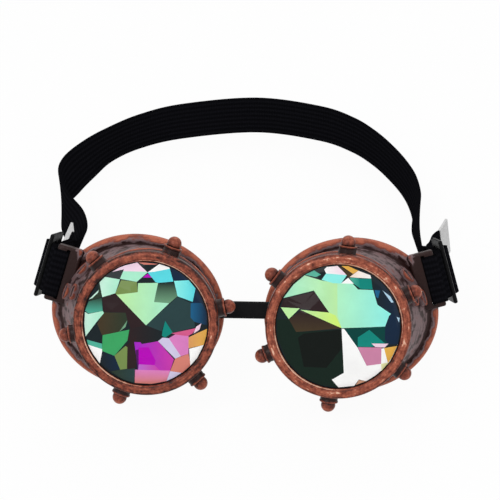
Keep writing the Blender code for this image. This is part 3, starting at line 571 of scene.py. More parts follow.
def close():
    """Ends the shaping with its doubles merged and its faces outwards."""
    bpy.ops.mesh.select_all(action="SELECT")
    bpy.ops.mesh.remove_doubles(threshold=MERGE_DISTANCE)
    bpy.ops.mesh.normals_make_consistent(inside=False)
    bpy.ops.object.mode_set(mode="OBJECT")


def select_objects(made, others=()):
    """Selects these objects alone, the first one active."""
    bpy.ops.object.select_all(action="DESELECT")
    for chosen in (made, *others):
        chosen.select_set(True)
    bpy.context.view_layer.objects.active = made


def select_faces(made, wanted):
    """Selects, in edit mode, the faces that pass a test."""
    bpy.ops.mesh.select_mode(type="FACE")
    bpy.ops.mesh.select_all(action="DESELECT")
    bm = bmesh.from_edit_mesh(made.data)
    for face in bm.faces:
        face.select = wanted(face)
    bmesh.update_edit_mesh(made.data)


def frame_matrix(x_axis, y_axis, z_axis, origin):
    """The place of a frame with these axes and this origin."""
    place = Matrix((x_axis, y_axis, z_axis)).transposed().to_4x4()
    place.translation = origin
    return place


def settle(made, place, smooth=SMOOTH_DEG):
    """Puts a shape where its matrix says and leaves its object at the origin."""
    select_objects(made)
    made.matrix_world = place @ made.matrix_world
    bpy.ops.object.transform_apply(location=True, rotation=True, scale=True)
    if smooth:
        bpy.ops.object.shade_smooth_by_angle(angle=math.radians(smooth))
    return made


def modify(made, kind, **settings):
    """Adds a modifier with these settings and applies it."""
    step = made.modifiers.new(kind.lower(), kind)
    for key, value in settings.items():
        setattr(step, key, value)
    bpy.context.view_layer.objects.active = made
    bpy.ops.object.modifier_apply(modifier=step.name)


def merge_shape(made, other, operation):
    """Unites or cuts one shape with another, which is used up."""
    modify(made, "BOOLEAN", operation=operation, solver="EXACT", object=other)
    bpy.data.objects.remove(other)


def join(made, others):
    select_objects(made, others)
    bpy.ops.object.join()


def put_on(made, material_name):
    """Leaves a shape with this finish alone."""
    made.data.materials.clear()
    made.data.materials.append(bpy.data.materials[material_name])


def copy_shape(made, name, place):
    """A copy with a mesh of its own, moved by a matrix."""
    copied = made.copy()
    copied.data = made.data.copy()
    copied.name = copied.data.name = name
    bpy.context.scene.collection.objects.link(copied)
    copied.data.transform(place)
    return copied


def open_edges():
    """Selects the edges that have a face on one side only."""
    bpy.ops.mesh.select_mode(type="VERT")
    bpy.ops.mesh.select_all(action="DESELECT")
    bpy.ops.mesh.select_non_manifold()


def keep_wear_and_light(made, values):
    """Stores how rubbed the finish is at each point, with painted light and shade: 0 and less in hollows and
    painted shade, 1 on edges and painted highlights.
    """
    made.data.attributes.new("wear_and_light", "FLOAT", "POINT")
    made.data.attributes["wear_and_light"].data.foreach_set("value", values)


def paint(made, shade):
    """Sets how rubbed the finish is, with its painted light and shade, at each point as a function of its
    place says.
    """
    keep_wear_and_light(made, [float(shade(vertex.co)) for vertex in made.data.vertices])


def keep_around(made):
    """Stores a place drawn out round the lens axis, along which the finish is streaked."""
    made.data.attributes.new("around", "FLOAT_VECTOR", "POINT")
    values = []
    for vertex in made.data.vertices:
        x, y, z = vertex.co
        turn = math.atan2(y, x)
        values += (STREAK_RADIUS * math.cos(turn), STREAK_RADIUS * math.sin(turn),
                   vertex.co.xy.length - z)
    made.data.attributes["around"].data.foreach_set("vector", values)


def draw_out(profile):
    """Extrudes the selected circle from each (radius, height) to the next."""
    for (radius, height), (next_radius, next_height) in zip(profile, profile[1:]):
        bpy.ops.mesh.extrude_region_move(
            TRANSFORM_OT_translate={"value": (0, 0, next_height - height)})
        ratio = next_radius / radius
        bpy.ops.transform.resize(value=(ratio, ratio, 1), center_override=(0, 0, next_height))


def lathe(name, profile, steps):
    """A ring drawn out of a circle along its profile and closed on itself."""
    radius, height = profile[0]
    made = begin(name, bpy.ops.mesh.primitive_circle_add, vertices=steps, radius=radius,
                 location=(0, 0, height))
    draw_out(profile)
    open_edges()
    bpy.ops.mesh.bridge_edge_loops()
    close()
    return made


def thread(name, root, crest, start):
    """One turn of a screw ridge about Z between two radii, from a start height upwards."""
    made = begin(name, bpy.ops.mesh.primitive_plane_add, size=1)
    bm = bmesh.from_edit_mesh(made.data)
    half = THREAD_PITCH / 4
    for vertex in bm.verts:
        outer = vertex.co.x > 0
        height = math.copysign(half * (CREST_SHARE if outer else 1), vertex.co.y)
        vertex.co = (crest if outer else root, 0, start + height)
    bmesh.update_edit_mesh(made.data)
    bpy.ops.mesh.delete(type="ONLY_FACE")
    bpy.ops.object.mode_set(mode="OBJECT")
    steps = CUP_STEPS // 2
    modify(made, "SCREW", axis="Z", screw_offset=THREAD_PITCH, iterations=1, steps=steps,
           render_steps=steps, use_merge_vertices=False)
    bpy.ops.object.mode_set(mode="EDIT")
    open_edges()
    bpy.ops.mesh.fill_holes(sides=4)
    close()
    return made


def smooth_path(points, steps):
    """A smooth curve through points, as lists of numbers."""
    found = []
    last = len(points) - 1
    for k in range(last):
        before = points[max(k - 1, 0)]
        start, end = points[k], points[k + 1]
        after = points[min(k + 2, last)]
        for step in range(steps):
            t = step / steps
            found.append([
                0.5 * (2 * b + (c - a) * t + (2 * a - 5 * b + 4 * c - d) * t**2
                       + (3 * b - a - 3 * c + d) * t**3)
                for a, b, c, d in zip(before, start, end, after)
            ])
    found.append(list(points[-1]))
    return found


def directions_along(centres):
    """The way a path runs at each of its points."""
    last = len(centres) - 1
    return [
        (centres[min(k + 1, last)] - centres[max(k - 1, 0)]).normalized()
        for k in range(len(centres))
    ]


def elastic_strip(name, rows, place):
    """A flat strap through rows of (centre, upright, heading), with rounded edges.

    Its UV map is in metres, along the strap and across it.
    """
    width, thickness = sizes().strap_width, sizes().strap_thickness
    last = len(rows) - 1
    lengths = [0]
    for before, after in zip(rows, rows[1:]):
        lengths.append(lengths[-1] + (after[0] - before[0]).length)
    bpy.ops.object.select_all(action="DESELECT")
    bpy.ops.mesh.primitive_grid_add(x_subdivisions=last, y_subdivisions=STRAP_ACROSS, size=1)
    made = bpy.context.object
    made.name = made.data.name = name
    shares = {}
    for vertex in made.data.vertices:
        row = min(max(round((vertex.co.x + 0.5) * last), 0), last)
        share = vertex.co.y
        centre, upright, heading = rows[row]
        normal = upright.cross(heading).normalized()
        across = heading.cross(normal).normalized()
        shares[vertex.index] = (lengths[row], share * width)
        vertex.co = centre + across * share * width
    layer = made.data.uv_layers.active
    for corner in made.data.loops:
        layer.data[corner.index].uv = shares[corner.vertex_index]
    modify(made, "SOLIDIFY", thickness=thickness, offset=0, use_even_offset=True)
    bpy.ops.object.mode_set(mode="EDIT")
    close()
    modify(made, "BEVEL", width=STRAP_ROUND, segments=2, limit_method="ANGLE",
           angle_limit=math.radians(STRAP_EDGE_DEG))
    put_on(made, "black elastic")
    return settle(made, place, STRAP_SMOOTH_DEG)


def wall_place(share):
    """The blend from circle to rim and the depth of the wall, at a share of its length."""
    end = RIM_DEPTH - LIP_RADIUS
    return share**WALL_FLARE, WALL_START + (end - WALL_START) * share


def cup_oval(radius, grow, blend, depth):
    """Half width, half height, sideways shift, depth and bow of a section of a cup."""
    return (
        (1 - blend) * radius + blend * (RIM_HALF_WIDTH + grow),
        (1 - blend) * radius + blend * (RIM_HALF_HEIGHT + grow),
        blend * RIM_OFFSET,
        depth,
        blend * RIM_CURVE,
    )


def cup_ovals():
    """Sections from the barrel's front, down the outside, round the rim and up the inside.

    Each comes with how rubbed its finish is, with painted shade in the groove at the rim's foot.
    """
    rows = [(cup_oval(radius, 0, 0, depth), rubbed_and_shaded) for radius, depth, rubbed_and_shaded in CUP_FRONT]
    outer = -LIP_RADIUS - WALL_RECESS
    for k in range(1, WALL_STEPS):
        share = k / WALL_STEPS
        blend, depth = wall_place(share)
        # The last wall row, the groove at the rim's foot, gets painted shade
        rubbed_and_shaded = WALL_WEAR if share < GROOVE_SHARE else GROOVE_SHADE
        rows.append((cup_oval(WALL_FRONT_RADIUS, outer, blend, depth), rubbed_and_shaded))
    start, end = (math.radians(turn) for turn in LIP_TURN_DEG)
    for k in range(LIP_STEPS + 1):
        turn = start + (end - start) * k / LIP_STEPS
        grow = LIP_RADIUS * (math.cos(turn) - 1)
        lit = max(0, math.cos(turn - math.radians(LIT_RIM_DEG)))
        rubbed_and_shaded = RIM_SHADE_WEAR + LIT_RIM_WEAR * lit
        rows.append((cup_oval(0, grow, 1, RIM_DEPTH - LIP_RADIUS * math.sin(turn)), rubbed_and_shaded))
    for k in range(WALL_STEPS - 1, 0, -2):
        blend, depth = wall_place(k / WALL_STEPS)
        rows.append((cup_oval(WALL_FRONT_RADIUS - WALL, outer - WALL, blend, depth), INSIDE_WEAR))
    for depth, rubbed_and_shaded in zip((WALL_START, BARREL_FRONT), BORE_WEARS):
        rows.append((cup_oval(BARREL_BORE, 0, 0, depth), rubbed_and_shaded))
    return rows


def draw_oval(side, before, after):
    """Extrudes the open edge of a cup from one oval section to the next."""
    bpy.ops.mesh.extrude_region_move()
    middle = Vector((side * before[2], 0, -before[3]))
    reach = math.hypot(after[0], after[4]) / math.hypot(before[0], before[4])
    turn = math.atan2(after[4], after[0]) - math.atan2(before[4], before[0])
    bpy.ops.transform.resize(value=(reach, after[1] / before[1], reach), center_override=middle)
    if turn:
        bpy.ops.transform.rotate(value=-side * turn, orient_axis="Y", center_override=middle)
    shift = (side * (after[2] - before[2]), 0, before[3] - after[3])
    bpy.ops.transform.translate(value=shift)


def cup_shell(name, side):
    """The cup's wall drawn out of a circle, section by section, and closed on itself."""
    steps = sizes().cup_steps
    rows = cup_ovals()
    first = rows[0][0]
    made = begin(name, bpy.ops.mesh.primitive_circle_add, vertices=steps, radius=first[0],
                 location=(0, 0, -first[3]))
    for before, after in zip(rows, rows[1:]):
        draw_oval(side, before[0], after[0])
    open_edges()
    bpy.ops.mesh.bridge_edge_loops()
    close()
    keep_wear_and_light(made, [wear_and_light for _, wear_and_light in rows for _ in range(steps)])
    keep_around(made)
    return made


def lug_place(side):
    """The place of a strap lug: X out from its slot, Y up along it, Z forward."""
    turn = math.radians(LUG_TURN_DEG)
    out = Vector((side * math.cos(turn), math.sin(turn), 0))
    up = Vector((-side * math.sin(turn), math.cos(turn), 0))
    return frame_matrix(out, up, Vector((0, 0, 1)), (side * LUG_OFFSET, LUG_HEIGHT, 0))


def block(name, low, high, place, rounding=0):
    """A block between two corners, rounded by a bevel, in the frame of place."""
    low, high = Vector(low), Vector(high)
    made = begin(name, bpy.ops.mesh.primitive_cube_add, size=1)
    bpy.ops.transform.resize(value=high - low)
    bpy.ops.transform.translate(value=(low + high) / 2)
    if rounding:
        bpy.ops.mesh.bevel(offset=rounding, segments=3)
    close()
    made.data.transform(place)
    if place.determinant() < 0:
        made.data.flip_normals()
    return made


def vent_plate():
    """One oval vent with a raised lip round a sunken middle, standing on its wall."""
    stand = sizes().vent_stand
    made = begin("vent", bpy.ops.mesh.primitive_cylinder_add, vertices=VENT_STEPS, radius=1,
                 depth=WALL + stand, end_fill_type="NGON")
    bpy.ops.transform.resize(value=(VENT_HALF_LENGTH, VENT_HALF_WIDTH, 1))
    bpy.ops.transform.translate(value=(0, 0, stand / 2))
    select_faces(made, lambda face: face.normal.z > VENT_TOP_NORMAL)
    bpy.ops.mesh.bevel(offset=VENT_BEVEL, segments=2)
    faces = bmesh.from_edit_mesh(made.data).faces
    top = max(faces, key=lambda face: face.calc_center_median().z + face.calc_area())
    select_faces(made, lambda face: face == top)
    for inset, depth in (
        (VENT_LIP - VENT_BEVEL, 0), (VENT_BEVEL, -VENT_SINK), (VENT_INSET, VENT_RISE),
    ):
        bpy.ops.mesh.inset(thickness=inset, depth=depth)
    close()
    lip = WALL / 2 + stand - VENT_INSET

    def shade(co):
        share = math.hypot(co.x / VENT_HALF_LENGTH, co.y / VENT_HALF_WIDTH)
        return VENT_LIP_WEAR if co.z > lip and share > VENT_LIP_SHARE else VENT_WEAR

    paint(made, shade)
    return made


def vent_matrix(side, angle_deg, share):
    """Stands a vent square to the cup's wall, its long axis round the cup."""
    outer = -LIP_RADIUS - WALL_RECESS

    def point(angle, share):
        blend, depth = wall_place(share)
        wide, high, across, depth, bow = cup_oval(WALL_FRONT_RADIUS, outer, blend, depth)
        return Vector((side * (across + wide * math.cos(angle)), high * math.sin(angle),
                       -depth - bow * math.cos(angle)))

    angle, step = math.radians(angle_deg), 0.02
    centre = point(angle, share)
    around = (point(angle + step, share) - centre).normalized()
    back = (point(angle, share + step) - centre).normalized()
    normal = around.cross(back).normalized() * -side
    if normal.dot(centre) < 0:
        normal.negate()
    return frame_matrix(around, normal.cross(around), normal, centre)


def shade_lug_and_cuts(made, lug):
    """Paints shade on the lug, which lies under the strap loop, and on the cut faces, whose points have no
    place round the lens axis.
    """
    half = STRAP_WIDTH / 2 + SIDE_CLEARANCE + 2 * LUG_END
    to_lug = lug.inverted()
    attributes = made.data.attributes
    for vertex, rubbed_and_shaded, place in zip(made.data.vertices, attributes["wear_and_light"].data,
                                     attributes["around"].data):
        point = to_lug @ vertex.co
        if not any(place.vector) or point.x > BAR_INNER and abs(point.y) < half:
            rubbed_and_shaded.value = LUG_SHADE


def build_eyecup(side_name):
    side = SIDES[side_name]
    name = f"{side_name}_eyecup_finish"
    made = cup_shell(name, side)
    lug = lug_place(side)
    half = STRAP_WIDTH / 2 + SIDE_CLEARANCE
    holder = block("lug", (-BAR_INNER - LUG_ROOT, -half - LUG_END, -LUG_BACK),
                   (BAR_OUTER, half + LUG_END, -LUG_FRONT), lug, LUG_ROUND)
    merge_shape(made, holder, "UNION")
    behind = RIM_DEPTH + RIM_CURVE + 2 * LIP_RADIUS
    for low, high in (
        ((-SLOT_ROOT, -half, -behind), (BAR_INNER, half, -LUG_FRONT + SLOT_AHEAD)),
        ((0, -half, -behind), (BAR_OUTER, half, -LUG_BACK + BAR_SETBACK)),
    ):
        merge_shape(made, block("slot", low, high, lug), "DIFFERENCE")
    nose = Matrix.Translation((-side * WALL_FRONT_RADIUS, STRIP_HEIGHT, -STRIP_DEPTH))
    corner = Vector((STRIP_REACH, STRIP_HALF_WIDTH, STRIP_HALF_THICKNESS))
    merge_shape(made, block("strip slot", -corner, corner, nose), "DIFFERENCE")
    # Painted shade on the lug under the strap loop and on the cut faces of the slots
    shade_lug_and_cuts(made, lug)
    parts = [thread("ridge", BARREL_RADIUS - THREAD_ROOT, BARREL_RADIUS + THREAD_HEIGHT,
                    THREAD_START)]
    vent = vent_plate()
    for angle, share in VENT_SHARES:
        parts.append(copy_shape(vent, "vent copy", vent_matrix(side, angle, share)))
    bpy.data.objects.remove(vent)
    join(made, parts)
    settle(made, cup_frame(side_name))
    put_on(made, "dusty copper")
    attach(made, "goggles_body")
    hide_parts(f"{side_name}_eyecup")


def to_origin(made):
    """Moves an object's place into its mesh."""
    made.data.transform(Matrix.Translation(made.location))
    made.location = (0, 0, 0)


def boss_shape():
    """One conical boss with a waist, and a thin collar that holds the ball's foot."""
    made = begin("boss", bpy.ops.mesh.primitive_circle_add, vertices=32,
                 radius=BOSS_BASE_RADIUS, fill_type="NGON", location=(0, 0, BOSS_FROM))
    draw_out(BOSS_PROFILE)
    close()
    to_origin(made)
    paint(made, lambda co: next(wear_and_light for height, wear_and_light in BOSS_WEAR if co.z > height))
    return made


def stud_shape():
    """One ball, cut flat at its seat and drawn in to its pin."""
    radius = sizes().ball_radius
    made = begin("stud", bpy.ops.mesh.primitive_uv_sphere_add, segments=32, ring_count=18,
                 radius=radius, location=(0, 0, BALL_DISTANCE))
    seat = BOSS_TO + GAP
    bpy.ops.mesh.bisect(plane_co=(0, 0, seat), plane_no=(0, 0, 1), clear_inner=True,
                        use_fill=True)
    faces = bmesh.from_edit_mesh(made.data).faces
    lowest = min(faces, key=lambda face: face.calc_center_median().z)
    across = max(vertex.co.xy.length for vertex in lowest.verts)
    select_faces(made, lambda face: face == lowest)
    bpy.ops.mesh.inset(thickness=across - PIN_RADIUS)
    bpy.ops.mesh.extrude_region_move(TRANSFORM_OT_translate={"value": (0, 0, PIN_FROM - seat)})
    close()
    to_origin(made)
    paint(made, lambda co: BALL_WEAR + BALL_TOP_WEAR * max(0, co.z - BALL_DISTANCE) / radius)
    return made


def stud_places(side_name):
    """The places of a ring's studs in its cup's frame, each pointing out of the ring."""
    first = math.radians(RING_TURN_DEG[side_name])
    for k in range(STUDS):
        angle = first + 2 * math.pi * k / STUDS
        yield (Matrix.Translation((0, 0, -STUD_DEPTH)) @ Matrix.Rotation(angle, 4, "Z")
               @ Matrix.Rotation(math.pi / 2, 4, "Y"))


def ring_wear_and_light(co):
    """The inner lip and the middle of the face are rubbed bright and carry a painted highlight, the face's
    rounded edges and shoulder carry painted shade, and the skirt stays dark.
    """
    radius = co.xy.length
    if co.z < SKIRT_TOP:
        return SKIRT_WEAR
    if radius < RING_LIP_END:
        # A painted highlight along the lip, brightest towards LIT_LIP_DEG and the opposite side
        lit = abs(math.cos(math.atan2(co.y, co.x) - math.radians(LIT_LIP_DEG)))
        return RING_LIP_WEAR + LIP_HIGHLIGHT * lit**2 if radius > RING_LIP_START else FACE_EDGE_WEAR_AND_SHADE
    # Painted shade on the shoulder and rounded edges, and a painted highlight along the middle of the face,
    # besides the wear
    if co.z < RING_SHOULDER_TOP:
        return RING_SHOULDER_WEAR_AND_SHADE
    return FACE_WEAR_AND_HIGHLIGHT if FACE_RADII[0] <= radius <= FACE_RADII[1] else FACE_EDGE_WEAR_AND_SHADE


def build_ring(side_name):
    made = lathe(f"{side_name}_lens_ring_finish", RING_PROFILE, RING_STEPS)
    # The left ring painted darker and the right one lighter: painted shade and light
    paint(made, lambda co: ring_wear_and_light(co) + RING_LIGHT_SHIFT[side_name])
    keep_around(made)
    boss = boss_shape()
    parts = [copy_shape(boss, "boss copy", place) for place in stud_places(side_name)]
    bpy.data.objects.remove(boss)
    parts.append(thread("inner ridge", RING_PROFILE[-1][0] + THREAD_ROOT, BARREL_RADIUS + GAP,
                        THREAD_START - THREAD_PITCH / 2))
    join(made, parts)
    settle(made, cup_frame(side_name))
    put_on(made, "antique copper")
    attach(made, f"{side_name}_ring_unit")
    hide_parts(f"{side_name}_lens_ring")


def build_studs(side_name):
    stud = stud_shape()
    for k, place in enumerate(stud_places(side_name)):
        made = copy_shape(stud, f"{side_name}_stud_{k + 1}_finish", place)
        settle(made, cup_frame(side_name))
        put_on(made, "antique copper")
        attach(made, f"{side_name}_ring_unit")
        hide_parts(f"{side_name}_stud_{k + 1}")
    bpy.data.objects.remove(stud)


def crown_shape(name):
    """The lens's cut front: rows of corners with a skin of flat facets over them."""
    made = begin(name, bpy.ops.mesh.primitive_cone_add, vertices=8, radius1=CROWN_TIP_RADIUS,
                 radius2=0, depth=CROWN_TIP_HEIGHT,
                 location=(0, 0, CROWN_TOP - CROWN_TIP_HEIGHT / 2))
    bpy.ops.object.mode_set(mode="OBJECT")
    settle(made, Matrix(), 0)
    bpy.ops.object.mode_set(mode="EDIT")
    for count, radius, height, first in CROWN_ROWS:
        bpy.ops.mesh.primitive_circle_add(vertices=count, radius=radius, fill_type="NOTHING",
                                          location=(0, 0, height),
                                          rotation=(0, 0, math.radians(first)))
    bpy.ops.mesh.select_all(action="SELECT")
    bpy.ops.mesh.convex_hull()
    select_faces(made, lambda face: face.normal.z < CROWN_BACK_NORMAL)
    bpy.ops.mesh.delete(type="FACE")
    return made


def sides_of(corners):
    """Each corner of a facet with the next one."""
    return list(zip(corners, corners[1:] + corners[:1]))


def overlaps(face, corners):
    """True unless the face lies wholly outside one side of a facet drawn anticlockwise."""
    points = [vertex.co.xy for vertex in face.verts]
    for start, end in sides_of(corners):
        side = end - start
        if all(side.cross(point - start) < SIDE_TOLERANCE for point in points):
            return False
    return True


def cut_facet(made, corners):
    """Bisects the crown's skin along a facet's sides, and gives back the faces inside."""
    for start, end in sides_of(corners):
        bm = bmesh.from_edit_mesh(made.data)
        for face in bm.faces:
            face.select = overlaps(face, corners)
        bmesh.update_edit_mesh(made.data)
        side = (end - start).normalized()
        bpy.ops.mesh.bisect(plane_co=(start.x, start.y, 0), plane_no=(-side.y, side.x, 0),
                            threshold=CUT_THRESHOLD)
        bpy.ops.mesh.select_mode(type="FACE")
    bm = bmesh.from_edit_mesh(made.data)
    inside = []
    for face in bm.faces:
        middle = face.calc_center_median().xy
        if all((end - start).cross(middle - start) > 0 for start, end in sides_of(corners)):
            inside.append(face)
    return bm, inside


def convex_parts(corners):
    """The facet itself if it has no inner corner, or else its triangles."""
    turns = [(b - a).cross(c - b) for a, b, c in zip(corners, corners[1:] + corners[:1],
                                                     corners[2:] + corners[:2])]
    area = sum(a.cross(b) for a, b in sides_of(corners))
    if area < 0:
        corners = corners[::-1]
        turns = [-turn for turn in turns]
    if min(turns) >= -BEND_TOLERANCE:
        return [corners]
    flat = [Vector((corner.x, corner.y, 0)) for corner in corners]
    parts = []
    for triangle in tessellate_polygon([flat]):
        part = [corners[k] for k in triangle]
        if (part[1] - part[0]).cross(part[2] - part[1]) < 0:
            part.reverse()
        parts.append(part)
    return parts


def tint_at(tint, corners):
    """A facet's colour at a point, even or run between two across it or down it."""
    across = ">" in tint
    first, last = (Vector((*linear(*TINTS[name]), 1))
                   for name in (tint.split(">" if across else "/") * 2)[:2])
    low, high = (limit(corner.x if across else -corner.y for corner in corners)
                 for limit in (min, max))

    def colour(co):
        share = ((co.x if across else -co.y) - low) / (high - low)
        return first.lerp(last, min(max(share, 0), 1))

    return colour


def colour_faces(bm, faces, colour):
    """Tints the corners of these faces by their places."""
    layer = bm.loops.layers.float_color["tint"]
    for face in faces:
        for corner in face.loops:
            corner[layer] = colour(corner.vert.co)


def build_lens(side_name):
    made = crown_shape(f"{side_name}_lens_finish")
    bm = bmesh.from_edit_mesh(made.data)
    bm.loops.layers.float_color.new("tint")
    base = Vector((*linear(*TINTS["night"]), 1))
    colour_faces(bm, bm.faces, lambda co: base)
    bmesh.update_edit_mesh(made.data)
    for tint, shares in FACET_SHARES[side_name]:
        corners = [Vector((x / 100, y / 100)) * OPENING_RADIUS for x, y in shares]
        colour = tint_at(tint, corners)
        for part in convex_parts(corners):
            bm, inside = cut_facet(made, part)
            colour_faces(bm, inside, colour)
            bmesh.update_edit_mesh(made.data)
    open_edges()
    for radius, height in ((LENS_RADIUS, -LENS_FRONT), (LENS_RADIUS, -LENS_BACK)):
        bpy.ops.mesh.extrude_region_move()
        grow = radius / max(v.co.xy.length for v in bmesh.from_edit_mesh(made.data).verts)
        bpy.ops.transform.resize(value=(grow, grow, 1), center_override=(0, 0, 0))
        bm = bmesh.from_edit_mesh(made.data)
        for vertex in bm.verts:
            if vertex.select:
                vertex.co.z = height
        bmesh.update_edit_mesh(made.data)
    bpy.ops.mesh.edge_face_add()
    bpy.ops.mesh.select_all(action="SELECT")
    bpy.ops.mesh.normals_make_consistent(inside=False)
    bpy.ops.object.mode_set(mode="OBJECT")
    settle(made, cup_frame(side_name), 0)
    put_on(made, "coated crystal")
    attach(made, f"{side_name}_lens_unit")
    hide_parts(f"{side_name}_lens")


def slide_place(side):
    """Maps (back along the strap, up along it, out of it) at the slide to the cup's frame."""
    toe = math.radians(SLIDE_TOE_DEG)
    lug = lug_place(side)

    def place(values):
        back, up, out = values
        across = SLIDE_OUT - back * math.sin(toe) + out * math.cos(toe)
        forward = -SLIDE_CENTRE - back * math.cos(toe) - out * math.sin(toe)
        return lug @ Vector((across, up, forward))

    return place


def weave(level):
    """One layer's way through the slide, front to back, as (back, out) places.

    Level 0 is the layer that lies on the outer bars and 1 the one that lies on the
    centre bar.
    """
    under = -LIFT - LAYER * level
    over = LIFT + LAYER * (1 - level)
    front = -SLOT_EDGE + TURN if level == 0 else -HALF_CENTRE - TURN
    lower = -SLOT_EDGE if level == 0 else -SLOT_EDGE + TURN
    upper = -HALF_CENTRE - TURN * level
    half = [
        (-SLIDE_HALF - TURN, under),
        (lower, under),
        (front - TURN * SWING_SHARE, under / 2),
        (front, 0),
        (front + TURN * SWING_SHARE, over / 2),
        (upper + TURN * (level * LATE_SHARE - (1 - level) * EARLY_SHARE), over),
    ]
    return half + [(-back, out) for back, out in reversed(half)]


def strap_rows(side_name):
    """Rows of (centre, upright, heading) from behind the slide, round the lug, to the end."""
    side = SIDES[side_name]
    lug = lug_place(side)
    slide = slide_place(side)
    up = lug.to_3x3() @ Vector((0, 1, 0))
    inner, outer = BAR_INNER - TURN, BAR_OUTER + TURN
    corner = TURN * CORNER_SHARE
    run = [slide((STRAIGHT_END, 0, -LIFT - LAYER))]
    run += [slide((back, 0, out)) for back, out in reversed(weave(1))]
    run += [
        lug @ Vector(point) for point in (
            (BAR_INNER - corner, 0, -LUG_BACK - corner),
            (inner, 0, -LUG_BACK + corner),
            (inner, 0, -LUG_FRONT),
            (BAR_INNER - corner, 0, -LUG_FRONT + corner),
            (BAR_INNER, 0, -LUG_FRONT + TURN),
            (BAR_OUTER, 0, -LUG_FRONT + TURN),
            (BAR_OUTER + corner, 0, -LUG_FRONT + corner),
            (outer, 0, -LUG_FRONT),
            (outer, 0, -LUG_BACK),
        )
    ]
    run += [slide((back, 0, out)) for back, out in weave(0)]
    out_way, back_way, lift_way, lean_deg = TAIL_WAYS[side_name]
    run += [
        slide((STRAIGHT_END + back * back_way, lift * lift_way, -LIFT + out * out_way))
        for out, back, lift in TAIL_SHARES
    ]
    outward = slide((0, 0, 1)) - slide((0, 0, 0))
    uprights = [up] * (len(run) - len(TAIL_SHARES))
    for _, _, lift in TAIL_SHARES:
        lean = math.radians(lean_deg * lift)
        uprights.append(up * math.cos(lean) + outward * math.sin(lean))
    centres = [Vector(point) for point in smooth_path(run, STRAP_STEPS)]
    uprights = [Vector(upright) for upright in smooth_path(uprights, STRAP_STEPS)]
    return list(zip(centres, uprights, directions_along(centres)))


def nearest_row(rows, point, after=0):
    """The number of the row that lies nearest to a point."""
    return min(range(after, len(rows)), key=lambda k: (rows[k][0] - point).length)


def build_strap_end(side_name):
    """The doubled elastic in three lengths that meet on the slide's centre bar."""
    side = SIDES[side_name]
    slide = slide_place(side)
    lug = lug_place(side)
    place = cup_frame(side_name)
    rows = strap_rows(side_name)
    first = nearest_row(rows, slide((0, 0, LIFT)))
    second = nearest_row(rows, slide((0, 0, LIFT + LAYER)), first + 2 * STRAP_STEPS)
    front = place @ slide((-SLIDE_HALF, 0, 0))
    back = place @ slide((SLIDE_HALF, 0, 0))
    lug_back = place @ (lug @ Vector((BAR_OUTER, 0, -LUG_BACK)))
    end = place @ slide((STRAIGHT_END, 0, 0))
    unit = f"{side_name}_slide_unit"
    for label, run, bodies, start, stop in (
        ("loop", rows[first:second + 1], ("goggles_body", unit), lug_back, front),
        ("under_run", rows[:first + 1][::-1], (unit, "goggles_body"), back, end),
        ("tail", rows[second:], (unit, "goggles_body"), back, end),
    ):
        made = elastic_strip(f"{side_name}_strap_{label}", run, place)
        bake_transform(made, *bodies, start=start, end=stop)
        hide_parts(f"{side_name}_strap_end")


def band_start(side_name):
    """The centre, the upright and the heading of the elastic where the headband starts."""
    side = SIDES[side_name]
    slide = slide_place(side)
    place = cup_frame(side_name)
    ahead = place @ slide((STRAIGHT_END + GAP, 0, -LIFT - LAYER))
    behind = place @ slide((STRAIGHT_END, 0, -LIFT - LAYER))
    up = place.to_3x3() @ (lug_place(side).to_3x3() @ Vector((0, 1, 0)))
    return ahead, up, (ahead - behind).normalized()


def build_headband():
    """The long rear run, from the right strap end round the back to the left one."""
    points, uprights = [], []
    middle = sum(cup_frame(name).translation.x for name in SIDES) / 2
    for name in ("right", "left"):
        side = SIDES[name]
        ahead, upright, heading = band_start(name)
        places = [(ahead, upright), (ahead + heading * BAND_LEAD, upright)]
        for reach, right_span, left_span, height, right_lean, left_lean in BAND_SHARES:
            span = right_span if side > 0 else left_span
            lean = math.radians(right_lean if side > 0 else left_lean)
            places.append((
                Vector((middle + side * span * BAND_HALF_SPAN, ahead.y + reach * BAND_REACH,
                        height * STRAP_WIDTH / 2)),
                Vector((side * math.sin(lean), 0, math.cos(lean))),
            ))
        if name == "right":
            places.append((Vector((middle, ahead.y + BAND_REACH, STRAP_WIDTH / 2)),
                           Vector((0, 0, 1))))
        else:
            places.reverse()
        points += [point for point, _ in places]
        uprights += [upright for _, upright in places]
    centres = [Vector(point) for point in smooth_path(points, BAND_STEPS)]
    across = [Vector(upright).normalized() for upright in smooth_path(uprights, BAND_STEPS)]
    headings = directions_along(centres)
    headings[0] = band_start("right")[-1]
    headings[-1] = -band_start("left")[-1]
    rows = list(zip(centres, across, headings))
    made = elastic_strip("headband_finish", rows, Matrix())
    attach(made, "goggles_body")
    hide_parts("headband")


def feed(tree, made, inputs):
    """Feeds a shader node's inputs from values or sockets."""
    for key, value in inputs.items():
        if isinstance(value, bpy.types.NodeSocket):
            tree.links.new(value, made.inputs[key])
        else:
            made.inputs[key].default_value = value


def node(tree, kind, inputs=None, **settings):
    """Adds a shader node with these settings and inputs."""
    made = tree.nodes.new(kind)
    for key, value in settings.items():
        setattr(made, key, value)
    feed(tree, made, inputs or {})
    return made


def finish_material(name, **settings):
    """A material with its shader's even sockets set, and the object's own coordinates."""
    made = bpy.data.materials.new(name)
    made.use_nodes = True
    tree = made.node_tree
    shader = tree.nodes["Principled BSDF"]
    feed(tree, shader, {key.replace("_", " "): value for key, value in settings.items()})
    return tree, shader, node(tree, "ShaderNodeTexCoord").outputs["Object"]


def math_node(tree, operation, *values, clamp=False):
    """The outcome of a sum on values or sockets."""
    return node(tree, "ShaderNodeMath", dict(enumerate(values)), operation=operation,
                use_clamp=clamp).outputs[0]


